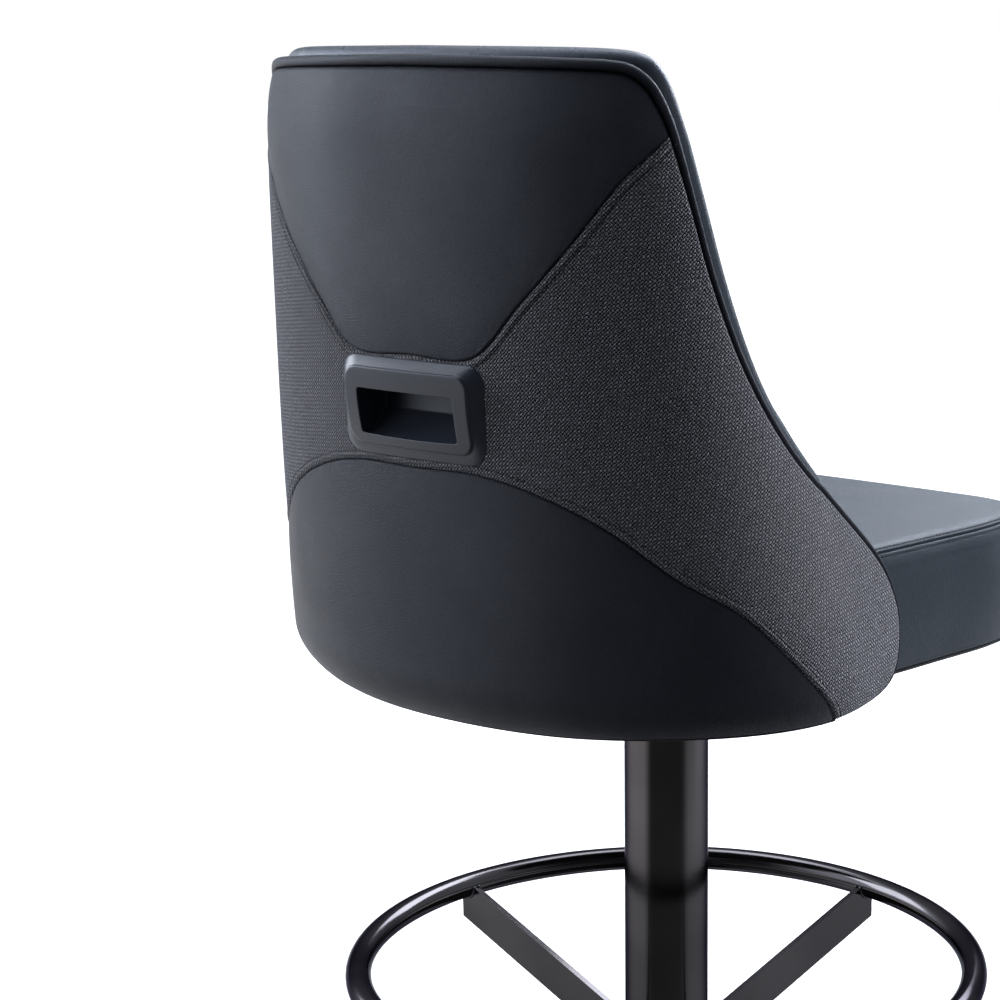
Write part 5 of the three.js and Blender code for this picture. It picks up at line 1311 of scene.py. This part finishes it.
side_free = on_side * np.sin(math.pi * height_share) ** 0.7
plump(seat_pad, 1 - np.maximum(on_top, 0.6 * side_free), 2.5, 0.005)
fit(seat_pad, "seat", seat_leather, ["seat_cushion"])

# %% Stitches of the seat, and its pan
def seat_row(angle, out):
    """A closed path round the seat's edge at an angle over its rounding, with its normals."""
    reach = EDGE_RADIUS + out
    ring = seat_ring(EDGE_RADIUS - reach * math.cos(angle), SIDE_TOP + reach * math.sin(angle))[0]
    upward = np.full((SEAT_COLUMNS, 1), math.sin(angle))
    normal = np.concatenate([plan_outward * math.cos(angle), upward], axis=-1)
    return np.concatenate([ring, ring[:1]]), np.concatenate([normal, normal[:1]])


SEAT_STITCH = dict(pitch=0.0044, length=0.0032, radius=0.00052, proud=0.00030)
stitch_turn = STITCH_OFFSET / EDGE_RADIUS
STITCH_SUNK = -0.0003
rows = [stitch_row(*seat_row(math.pi / 4 + k * stitch_turn, STITCH_SUNK), **SEAT_STITCH) for k in (-1, 1)]
points, faces = joined(rows)
seat_stitches = new_piece("seat_stitches", points, faces)
fit(seat_stitches, "seat", thread_black)

PAN_BOTTOM, PAN_TOP, PAN_INSET, PAN_LIP = 0.5927, 0.5967, 0.0022, 0.0050
lip_turn = np.linspace(0, math.pi / 2, 5)
lip_inset = PAN_INSET + PAN_LIP * (1 - np.sin(lip_turn))
lip_height = PAN_BOTTOM + (PAN_TOP - PAN_BOTTOM) * 0.7 * (1 - np.cos(lip_turn))
pan_inset = np.concatenate([[PAN_LIP * 8], lip_inset, [PAN_INSET, PAN_LIP * 8]])
pan_height = np.concatenate([[PAN_BOTTOM], lip_height, [PAN_TOP, PAN_TOP]])
pan_rings = seat_ring(pan_inset, pan_height)
pan_faces = grid_faces(len(pan_rings), SEAT_COLUMNS, wrap_rows=True, wrap_columns=True)
pan_edge = new_piece("pan_edge", pan_rings, pan_faces)
fit(pan_edge, "seat", pan_plastic)

# %% [markdown]
# ## The grab handle
# A moulded frame stands out from the cloth: a base that follows the back, slopes that run up to a
# narrower face, and a mouth with almost sharp corners. Every ring of it is a rounded rectangle
# with the same number of points, and the rings follow one another from the base over the edge,
# across the face and into the throat.

# %% Rounded rectangles
def rectangle_ring(width, height, corner, per_side=26, per_corner=12):
    """A rounded rectangle's outline with a fixed number of points on each side and corner."""
    x, z = width / 2 - corner, height / 2 - corner
    centres = [(x, z, 0), (-x, z, 1), (-x, -z, 2), (x, -z, 3)]
    angle = np.linspace(0, math.pi / 2, per_corner)
    turned_arcs = [(cx, cz, angle + q * math.pi / 2) for cx, cz, q in centres]
    arcs = [np.stack([cx + corner * np.cos(turn), cz + corner * np.sin(turn)], axis=-1)
            for cx, cz, turn in turned_arcs]
    t = np.linspace(0, 1, per_side + 2)[1:-1, None]
    sides = [arcs[k][-1] * (1 - t) + arcs[(k + 1) % 4][0] * t for k in range(4)]
    return np.concatenate([part for pair in zip(arcs, sides) for part in pair])


def back_depth(x, z):
    """How far back the wall's outer face is at a place, from the nearest of close samples."""
    share = (z - RIM_LEVEL) / (CREST_LEVEL - RIM_LEVEL)
    girths = np.linspace(0, 0.6, 601)
    table = wall_point(girths[:, None], share.ravel()[None])
    picks = [np.interp(abs(px), table[:, k, 0], table[:, k, 1]) for k, px in enumerate(x.ravel())]
    return np.array(picks).reshape(x.shape)


# %% Build the bezel
MOUTH = (0.0995, 0.0360, 0.0028)
FACE = (0.1275, 0.0620, 0.0125)
BASE = (0.1485, 0.0780, 0.0170)
FACE_LIFT = 0.0040
FABRIC_DEPTH = float(back_depth(np.array([0.0]), np.array([HANDLE_LEVEL]))[0])
FACE_DEPTH = FABRIC_DEPTH + 0.0090
FACE_BOW = 0.75  # how much a face point falls back, per metre of its distance squared
FACE_LEAN = 0.14
FACE_CROWN = 2.4
SLOPE_SWELL = 0.0004
EDGE_ROUND = 0.0014
MOUTH_ROUND = 0.0009
MOUTH_ARCH = 0.0010
THROAT = 0.0030


def face_depth(x, z):
    """The face's depth: it bows with the back, leans to stand out more at its top, and is crowned."""
    rise = z - HANDLE_LEVEL - FACE_LIFT
    return FACE_DEPTH - FACE_BOW * x**2 + FACE_LEAN * rise - FACE_CROWN * rise**2


def bezel_ring(shape, lift, behind=0.0, arch=0.0):
    """A rounded rectangle set at a distance behind the leaning face, its lower side arched."""
    outline = rectangle_ring(*shape)
    x, z = outline[:, 0], outline[:, 1] + HANDLE_LEVEL + lift
    z = z - arch * (1 - (2 * x / shape[0]) ** 2) * (outline[:, 1] < 0)
    return np.stack([x, face_depth(x, z) - behind, z], axis=-1)


def base_ring(out):
    """The base's outline laid on the back, at a distance out from it."""
    outline = rectangle_ring(*BASE)
    x, z = outline[:, 0], outline[:, 1] + HANDLE_LEVEL + FACE_LIFT
    return np.stack([x, back_depth(x, z) + out, z], axis=-1)


def grown(shape, amount):
    """A rounded rectangle's sizes, wider and higher by twice an amount."""
    return (shape[0] + 2 * amount, shape[1] + 2 * amount, max(shape[2] + amount, 0.0004))


quarter = np.linspace(0, math.pi / 2, 6)[1:]
bezel_rings = [base_ring(-0.0030), base_ring(0.0006)]
foot, shoulder = bezel_rings[-1], bezel_ring(FACE, FACE_LIFT, EDGE_ROUND)
for t in np.linspace(0, 1, 9)[1:]:
    bezel_rings.append(foot * (1 - t) + shoulder * t + (0, SLOPE_SWELL * math.sin(math.pi * t), 0))
for a in quarter:
    shape = grown(FACE, -EDGE_ROUND * (1 - math.cos(a)))
    bezel_rings.append(bezel_ring(shape, FACE_LIFT, EDGE_ROUND * (1 - math.sin(a))))
face_rim, mouth_rim = bezel_rings[-1], bezel_ring(grown(MOUTH, MOUTH_ROUND), 0, 0, MOUTH_ARCH)
for t in np.linspace(0, 1, 9)[1:]:
    ring = face_rim * (1 - t) + mouth_rim * t
    ring[:, 1] = face_depth(ring[:, 0], ring[:, 2])
    bezel_rings.append(ring)
for a in quarter:
    shape = grown(MOUTH, MOUTH_ROUND * (1 - math.sin(a)))
    bezel_rings.append(bezel_ring(shape, 0, MOUTH_ROUND * (1 - math.cos(a)), MOUTH_ARCH))
for depth in np.linspace(0, THROAT, 3)[1:]:
    bezel_rings.append(bezel_ring(MOUTH, 0, MOUTH_ROUND + depth, MOUTH_ARCH))
bezel_points = np.stack(bezel_rings)
bezel_out = np.zeros_like(bezel_points)
bezel_out[..., 1] = 1
bezel_faces = grid_faces(*bezel_points.shape[:2], wrap_columns=True)
bezel = new_piece("grab_bezel", bezel_points, bezel_faces, bezel_out)
fit(bezel, "seat", handle_plastic, ["handle_bezel"])

# %% [markdown]
# Behind the mouth lies the pocket for the fingers. Its floor curves up to the rear wall, and its
# roof rises behind a short lip, so the fingers can hook over it. The side view is one path, and
# the pocket is that path carried across, with a flat wall at each end.

# %% Build the pocket
POCKET_DEPTH = 0.0360
POCKET_WALL = 0.0025
POCKET_LIP = 0.0050
POCKET_CLEAR = 0.0004
POCKET_HEADROOM = 0.0115
POCKET_FILLET = 0.0040

pocket_end = FACE_DEPTH - POCKET_DEPTH + POCKET_WALL
mouth_low, mouth_high = HANDLE_LEVEL - MOUTH[1] / 2 - POCKET_CLEAR, HANDLE_LEVEL + MOUTH[1] / 2 + POCKET_CLEAR
rim_low, rim_high = (float(face_depth(0.0, z)) - THROAT for z in (mouth_low, mouth_high))
t = np.linspace(0, 1, 22)[:, None]
floor_start = np.array([rim_low, mouth_low - MOUTH_ARCH])
floor_bend = np.array([pocket_end + POCKET_DEPTH / 3, mouth_low])
floor_end = np.array([pocket_end, HANDLE_LEVEL])
floor_path = (1 - t) ** 2 * floor_start + 2 * t * (1 - t) * floor_bend + t**2 * floor_end
roof_corners = np.array([
    floor_end, [pocket_end, mouth_high + POCKET_HEADROOM],
    [rim_high - POCKET_LIP, mouth_high + POCKET_HEADROOM], [rim_high - POCKET_LIP, mouth_high],
    [rim_high, mouth_high],
])
roof_path = rounded_profile(roof_corners, POCKET_FILLET, 5)[6:-6]
side_view = np.concatenate([floor_path, roof_path, roof_corners[-1:]])
inside = np.array([pocket_end + POCKET_DEPTH * 0.45, HANDLE_LEVEL])
wall_turn = np.linspace(0, math.pi / 2, 6)
half_mouth = MOUTH[0] / 2 + POCKET_CLEAR
across_places = np.concatenate([
    -half_mouth + POCKET_FILLET * (1 - np.cos(wall_turn)),
    np.linspace(-half_mouth + POCKET_FILLET, half_mouth - POCKET_FILLET, 12)[1:-1],
    half_mouth - POCKET_FILLET * (1 - np.cos(wall_turn[::-1])),
])
edge_fall = np.concatenate([1 - np.sin(wall_turn), np.zeros(10), 1 - np.sin(wall_turn[::-1])])
edge_fall = edge_fall * POCKET_FILLET * 0.5
towards = unit(inside - side_view)
across_rows = side_view[None] + towards[None] * edge_fall[:, None, None]
pocket_rows = np.concatenate([
    np.broadcast_to(across_places[:, None, None], (*across_rows.shape[:2], 1)), across_rows], axis=-1)
rows_count, path_count = pocket_rows.shape[:2]
pocket_faces = grid_faces(rows_count, path_count).tolist()
pocket_faces += [list(range(path_count)), list(range((rows_count - 1) * path_count, rows_count * path_count))]
pocket_mesh = bpy.data.meshes.new("grab_pocket")
pocket_mesh.from_pydata(pocket_rows.reshape(-1, 3).tolist(), [], pocket_faces)
work = bmesh.new()
work.from_mesh(pocket_mesh)
bmesh.ops.recalc_face_normals(work, faces=work.faces)
middle = Vector((0, *inside))
outwardness = sum(f.normal.dot(f.calc_center_median() - middle) * f.calc_area() for f in work.faces)
if outwardness < 0:
    bmesh.ops.reverse_faces(work, faces=work.faces)
work.to_mesh(pocket_mesh)
work.free()
pocket_mesh.polygons.foreach_set("use_smooth", [len(f.vertices) == 4 for f in pocket_mesh.polygons])
pocket = bpy.data.objects.new("grab_pocket", pocket_mesh)
bpy.context.collection.objects.link(pocket)
shell_wall = pocket.modifiers.new("wall", "SOLIDIFY")
shell_wall.thickness = 0.0018
shell_wall.offset = 1
fit(pocket, "seat", handle_plastic, ["handle_pocket"])

# %% [markdown]
# ## Column, ring and base
# The steel is polished and plated in gloss black nickel. Plating shows every facet, so the round
# parts are turned again with many segments and small rounded edges.

# %% Column, hub, neck ring and base cover
COLUMN_RADIUS, COLUMN_WALL = 0.0381, 0.0030
COLUMN_BOTTOM, COLUMN_TOP = 0.0259, 0.5667
HUB_INNER, HUB_OUTER, HUB_BOTTOM, HUB_TOP = 0.0384, 0.0449, 0.1580, 0.2200
NECK_INNER, NECK_OUTER, NECK_BOTTOM, NECK_TOP = 0.0384, 0.0429, 0.0623, 0.0713
SEGMENTS = 160


def ring_profile(inner, outer, bottom, top, radius):
    """A sleeve's section with rounded corners."""
    return rounded_profile([(inner, bottom), (outer, bottom), (outer, top), (inner, top)], radius)


column_profile = ring_profile(COLUMN_RADIUS - COLUMN_WALL, COLUMN_RADIUS, COLUMN_BOTTOM, COLUMN_TOP, 0.0008)
column = new_piece("column", *turned(column_profile, SEGMENTS))
fit(column, "base", black_nickel, ["column_tube"])
hub_profile = ring_profile(HUB_INNER, HUB_OUTER, HUB_BOTTOM, HUB_TOP, 0.0014)
hub = new_piece("ring_hub", *turned(hub_profile, SEGMENTS))
fit(hub, "base", black_nickel, ["foot_ring_hub"])
neck_profile = ring_profile(NECK_INNER, NECK_OUTER, NECK_BOTTOM, NECK_TOP, 0.0020)
neck = new_piece("neck_collar", *turned(neck_profile, SEGMENTS))
fit(neck, "base", black_nickel, ["base_neck_ring"])

COVER_RADIUS, COVER_SHEET, COVER_FLOOR_GAP = 0.2700, 0.0016, 0.0020
COVER_RIM, COVER_SHOULDER, COVER_NECK = 0.0100, 0.0210, 0.0620
neck_radius = COLUMN_RADIUS + 0.0003 + COVER_SHEET
dome_corners = np.array([
    (COVER_RADIUS - COVER_RIM, COVER_SHOULDER), (COVER_RADIUS * 0.45, COVER_SHOULDER + COVER_NECK * 0.22),
    (neck_radius * 1.35, COVER_SHOULDER + COVER_NECK * 0.28), (neck_radius, COVER_NECK)])
t = np.linspace(0, 1, 50)[:, None]
dome = (1 - t) ** 3 * dome_corners[0] + 3 * t * (1 - t) ** 2 * dome_corners[1]
dome = dome + 3 * t**2 * (1 - t) * dome_corners[2] + t**3 * dome_corners[3]
rim_turn = np.linspace(0, math.pi / 2, 9)[:-1, None]
rim_curve = np.concatenate([COVER_RADIUS - COVER_RIM * (1 - np.cos(rim_turn)),
                            COVER_SHOULDER - COVER_RIM * (1 - np.sin(rim_turn))], axis=1)
outside_path = np.concatenate([[(COVER_RADIUS, COVER_FLOOR_GAP)], rim_curve, dome])
path_tangent = unit(np.gradient(outside_path, axis=0))
inside_path = outside_path + np.stack([-path_tangent[:, 1], path_tangent[:, 0]], axis=-1) * COVER_SHEET
cover = new_piece("base_dome", *turned(np.concatenate([outside_path, inside_path[::-1]]), 240))
fit(cover, "base", black_nickel, ["base_cover"])

# %% [markdown]
# The foot ring is a bent tube. Four flat bars on edge rise to it from the hub, and each ends in a
# toe that passes under the tube, where it is welded. A bar is its side view, with the tube's arc
# cut out of it, given a thickness and rounded edges.

# %% Foot ring and spokes
RING_LEVEL, RING_RADIUS, RING_TUBE = 0.2800, 0.2810, 0.0116
SPOKE_THICKNESS, SPOKE_HEIGHT, SPOKE_DROP, TOE_LENGTH = 0.0060, 0.0390, 0.0740, 0.0060
SPOKE_TURN = math.radians(-8)
SPOKE_COUNT = 4
angle = np.linspace(0, 2 * math.pi, 320, endpoint=False)
ring_level = np.full(320, RING_LEVEL)
ring_path = np.stack([RING_RADIUS * np.cos(angle), RING_RADIUS * np.sin(angle), ring_level], axis=-1)
ring_up = np.broadcast_to([0.0, 0, 1], ring_path.shape)
foot_ring = new_piece("foot_ring_tube", *tube(ring_path, ring_up, RING_TUBE, 32, closed=True))
fit(foot_ring, "base", black_nickel, ["foot_ring"])

root = HUB_OUTER + 0.0002
inner_side = RING_RADIUS - RING_TUBE
slope_share = SPOKE_DROP / (inner_side - root)
root_top = RING_LEVEL - SPOKE_DROP
heel = RING_RADIUS + TOE_LENGTH
arc_turn = np.linspace(-0.325 * math.pi, -math.pi, 18)
TUBE_CLEARANCE = 0.0001
arc_radius = RING_TUBE + TUBE_CLEARANCE
tube_arc = np.stack([RING_RADIUS + arc_radius * np.cos(arc_turn),
                     RING_LEVEL + arc_radius * np.sin(arc_turn)], axis=-1)
spoke_side = np.concatenate([
    [(root, root_top - SPOKE_HEIGHT), (heel, root_top - SPOKE_HEIGHT + slope_share * (heel - root)),
     (heel, tube_arc[0, 1])],
    tube_arc, [(root, root_top)]])


def turned_about(points, turn):
    """Points turned about the column's axis."""
    c, s = math.cos(turn), math.sin(turn)
    return points @ np.array([[c, s, 0], [-s, c, 0], [0, 0, 1]])


def weld_bead(path, outward, radius, turn):
    """A rippled bead along a path: a thin tube whose radius swells once for each drop of metal."""
    path = evenly(path, 90)
    done = path_length(path)
    swell = radius * (1 + 0.16 * np.abs(np.sin(math.pi * done / 0.0024)))
    points, faces = tube(path, np.broadcast_to(outward, path.shape).astype(float), swell, 9)
    return turned_about(points, turn), faces


beads = []
for k in range(SPOKE_COUNT):
    turn = SPOKE_TURN + k * math.pi / 2
    count = len(spoke_side)
    layers = [np.stack([spoke_side[:, 0], np.full(count, y), spoke_side[:, 1]], axis=-1)
              for y in (-SPOKE_THICKNESS / 2, SPOKE_THICKNESS / 2)]
    mesh = bpy.data.meshes.new(f"spoke_bar_{k + 1}")
    quads = grid_faces(2, count, wrap_columns=True).tolist()
    mesh.from_pydata(turned_about(np.concatenate(layers), turn).tolist(), [],
                     quads + [list(range(count))[::-1], list(range(count, 2 * count))])
    spoke = bpy.data.objects.new(f"spoke_bar_{k + 1}", mesh)
    bpy.context.collection.objects.link(spoke)
    work = bmesh.new()
    work.from_mesh(mesh)
    bmesh.ops.recalc_face_normals(work, faces=work.faces)
    work.to_mesh(mesh)
    work.free()
    bevel = spoke.modifiers.new("rounded", "BEVEL")
    bevel.width, bevel.segments, bevel.limit_method, bevel.angle_limit = 0.0007, 3, "ANGLE", math.radians(50)
    fit(spoke, "base", black_nickel, [f"foot_ring_spoke_{k + 1}"])
    for y in (-SPOKE_THICKNESS / 2, SPOKE_THICKNESS / 2):
        toe = np.stack([tube_arc[:, 0], np.full(len(tube_arc), y), tube_arc[:, 1]], axis=-1)
        beads.append(weld_bead(toe, (0, np.sign(y), 0), 0.0016, turn))
        hub_line = np.array([(root, y, root_top - SPOKE_HEIGHT + 0.001), (root, y, root_top - 0.001)])
        beads.append(weld_bead(hub_line, (0, np.sign(y), 0), 0.0022, turn))
points, faces = joined(beads)
welds = new_piece("spoke_welds", points, faces)
fit(welds, "base", weld_metal)

# %% [markdown]
# ## Stage and light
# The photograph has a pure white ground, and broad soft lights on both sides. Surfaces that face
# the photographer are in shade, because that side of the studio is dark. So the world is white to
# the camera, and has a dark sector on the camera's side for the light that reaches the stool. Its
# levels were tuned by tones, one set for fill and one for reflections, so it isn't one
# real studio: in reflections the left is brighter than the white ground, and the far side darker.
# To the camera and in reflections the floor glows, more so further out, so that it reads as white
# without more light on the stool, and near the stool it keeps the shadow. Its paper is also
# lighter to the camera than to the light that bounces off it. The paper ends towards the camera,
# where the dark studio floor is what the back reflects. Lamps and world are tinted cool, so part of
# the leather's slate cast comes from the light.

# %% Floor and world
def seen_directly(tree):
    """1 for a camera ray, and 1 for a ray in gloss or glass, as two outputs."""
    path = add_node(tree, "ShaderNodeLightPath").outputs
    return path["Is Camera Ray"], calc(tree, "MAXIMUM", path["Is Glossy Ray"], path["Is Transmission Ray"])


def facing_camera(tree, direction, line):
    """The cosine of the flat angle between a direction and a line of the studio."""
    level = add_node(tree, "ShaderNodeVectorMath", {0: direction, 1: (1, 1, 0)}, operation="MULTIPLY")
    flat = add_node(tree, "ShaderNodeVectorMath", {0: level.outputs[0]}, operation="NORMALIZE")
    cosine = add_node(tree, "ShaderNodeVectorMath", {0: flat.outputs[0], 1: line}, operation="DOT_PRODUCT")
    return cosine.outputs["Value"]


def backdrop_share(tree, direction, low, high):
    """0 towards the dark side of the studio, rising to 1 in the other directions: a soft step on
    the cosine of the angle from the line towards the camera."""
    return remap(tree, facing_camera(tree, direction, TOWARDS_CAMERA), high, low)


TOWARDS_CAMERA = Vector((-0.603, 0.798, 0))
CAMERA_LEFT = Vector((0.798, 0.603, 0))
PAPER_SEEN, PAPER_BOUNCE, DARK_FLOOR = (0.78, 0.78, 0.78), (0.24, 0.24, 0.24), (0.03, 0.03, 0.03)
LAMP_TINT, WORLD_TINT = (0.84, 0.90, 1.0), (0.81, 0.88, 1.0)
FLOOR_SIDE = 60.0
corner = FLOOR_SIDE / 2
floor_corners = [(-corner, -corner, 0), (corner, -corner, 0), (corner, corner, 0), (-corner, corner, 0)]
floor = new_piece("floor", floor_corners, [(0, 1, 2, 3)], np.broadcast_to([0.0, 0, 1], (4, 3)))
paper = bpy.data.materials.new("white_paper")
paper.use_nodes = True
tree = paper.node_tree
tree.nodes.clear()
place = object_place(tree)
to_camera, in_gloss = seen_directly(tree)
distance = add_node(tree, "ShaderNodeVectorMath", {0: place}, operation="LENGTH").outputs["Value"]
outward = remap(tree, distance, 0.55, 1.9, 0.34, 1.0)
near_stool = remap(tree, distance, 0.30, 0.55, 1.0, 0.0)
lit_side = calc(tree, "MAXIMUM", backdrop_share(tree, place, 0.42, 0.82), near_stool)
unlit_side = calc(tree, "SUBTRACT", 1.0, lit_side)
seen_level = calc(tree, "MULTIPLY", to_camera, calc(tree, "MAXIMUM", outward, unlit_side))
side_glow = remap(tree, facing_camera(tree, place, CAMERA_LEFT), -0.4, 0.4, 0.40, 0.85)
lit_glow = calc(tree, "MULTIPLY", lit_side, calc(tree, "MULTIPLY", outward, side_glow))
paper_gloss = calc(tree, "MAXIMUM", lit_glow, 0.08)
gloss_level = calc(tree, "MULTIPLY", in_gloss, paper_gloss)
glow_level = calc(tree, "MAXIMUM", seen_level, gloss_level)
lit_paper = mixed(tree, to_camera, PAPER_BOUNCE, PAPER_SEEN)
paper_colour = mixed(tree, lit_side, DARK_FLOOR, lit_paper)
diffuse = add_node(tree, "ShaderNodeBsdfDiffuse", {"Color": paper_colour})
glow = add_node(tree, "ShaderNodeEmission", {"Strength": glow_level})
both = add_node(tree, "ShaderNodeAddShader", {0: diffuse.outputs[0], 1: glow.outputs[0]})
add_node(tree, "ShaderNodeOutputMaterial", {"Surface": both.outputs[0]})
floor.data.materials.append(paper)
floor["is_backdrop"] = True

GLOSS_DARK, FILL_DARK, FAR_GLOSS, FAR_FILL = 0.05, 0.10, 0.40, 0.42
LEFT_GLOSS, RIGHT_GLOSS, SIDE_FILL = 1.80, 0.50, 1.15
ZENITH_FILL, ZENITH_GLOSS = 0.35, 1.6


def share_of(tree, factor, first_level, second_level):
    """The level between two, at a share from the first to the second."""
    node = add_node(tree, "ShaderNodeMix", {"Factor": factor, "A": first_level, "B": second_level})
    return node.outputs["Result"]


world = bpy.data.worlds.new("studio")
bpy.context.scene.world = world
world.use_nodes = True
tree = world.node_tree
tree.nodes.clear()
direction = add_node(tree, "ShaderNodeTexCoord").outputs["Generated"]
to_camera, in_gloss = seen_directly(tree)
across = facing_camera(tree, direction, CAMERA_LEFT)
side_gloss = remap(tree, across, -0.4, 0.4, RIGHT_GLOSS, LEFT_GLOSS)
side_level = share_of(tree, in_gloss, SIDE_FILL, side_gloss)
dark_level = share_of(tree, in_gloss, FILL_DARK, GLOSS_DARK)
far_share = remap(tree, facing_camera(tree, direction, TOWARDS_CAMERA), -0.85, -0.45, 1.0, 0.0)
far_level = share_of(tree, in_gloss, FAR_FILL, FAR_GLOSS)
lit = share_of(tree, far_share, side_level, far_level)
shaded = share_of(tree, backdrop_share(tree, direction, 0.28, 0.80), dark_level, lit)
rise = add_node(tree, "ShaderNodeSeparateXYZ", {0: direction}).outputs["Z"]
zenith_level = share_of(tree, in_gloss, ZENITH_FILL - 1, ZENITH_GLOSS - 1)
zenith_part = calc(tree, "MULTIPLY_ADD", remap(tree, rise, 0.45, 0.95), zenith_level, 1.0)
level = calc(tree, "MULTIPLY", shaded, zenith_part)
level = calc(tree, "MAXIMUM", level, to_camera)
tint = mixed(tree, to_camera, WORLD_TINT, (1.0, 1.0, 1.0))
background = add_node(tree, "ShaderNodeBackground", {"Color": tint, "Strength": level})
add_node(tree, "ShaderNodeOutputWorld", {"Surface": background.outputs[0]})

# %% [markdown]
# The soft boxes are large, so their shadows are soft. The right one shows in no reflection, because
# the world's right side stands for it there. The other three do: the left one, the one behind on
# the right, which edges the cushion, and the one overhead.

# %% Lamps
def soft_light(name, place, target, width, height, power, in_gloss=False):
    """A soft box: a rectangle of light that faces a point."""
    lamp = bpy.data.lights.new(name, "AREA")
    lamp.shape, lamp.size, lamp.size_y, lamp.energy = "RECTANGLE", width, height, power
    box = bpy.data.objects.new(name, lamp)
    box.location = place
    box.rotation_euler = (Vector(target) - Vector(place)).to_track_quat("-Z", "Y").to_euler()
    lamp.color = LAMP_TINT
    box.visible_glossy = in_gloss
    bpy.context.collection.objects.link(box)


AIM = (0, 0, 0.85)
UP = Vector((0, 0, 1))
left_place = CAMERA_LEFT * 2.2 - TOWARDS_CAMERA * 0.9 + UP * 1.55
right_place = -CAMERA_LEFT * 2.2 - TOWARDS_CAMERA * 0.5 + UP * 1.1
rim_place = -CAMERA_LEFT * 1.2 - TOWARDS_CAMERA * 1.9 + UP * 2.1
top_place = TOWARDS_CAMERA * -1.2 + UP * 2.8
soft_light("left_box", left_place, AIM, 1.5, 1.4, 42, in_gloss=True)
soft_light("right_box", right_place, AIM, 1.5, 1.9, 64)
soft_light("rim_box", rim_place, AIM, 1.4, 1.4, 62, in_gloss=True)
soft_light("top_box", top_place, AIM, 1.8, 1.0, 26, in_gloss=True)
bpy.context.scene.view_settings.view_transform = "Standard"
print("lit by", len(bpy.data.lights), "soft boxes")

# %% [markdown]
# ## The size against the construction
# How far the dressed stool's box has grown past the construction's box, in millimetres.

# %% Sizes
visual_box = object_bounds()
growth = [[round((v - c) * 1000, 1) for v, c in zip(*pair)] for pair in zip(visual_box, cad_box)]
print("grown by", growth, "mm")
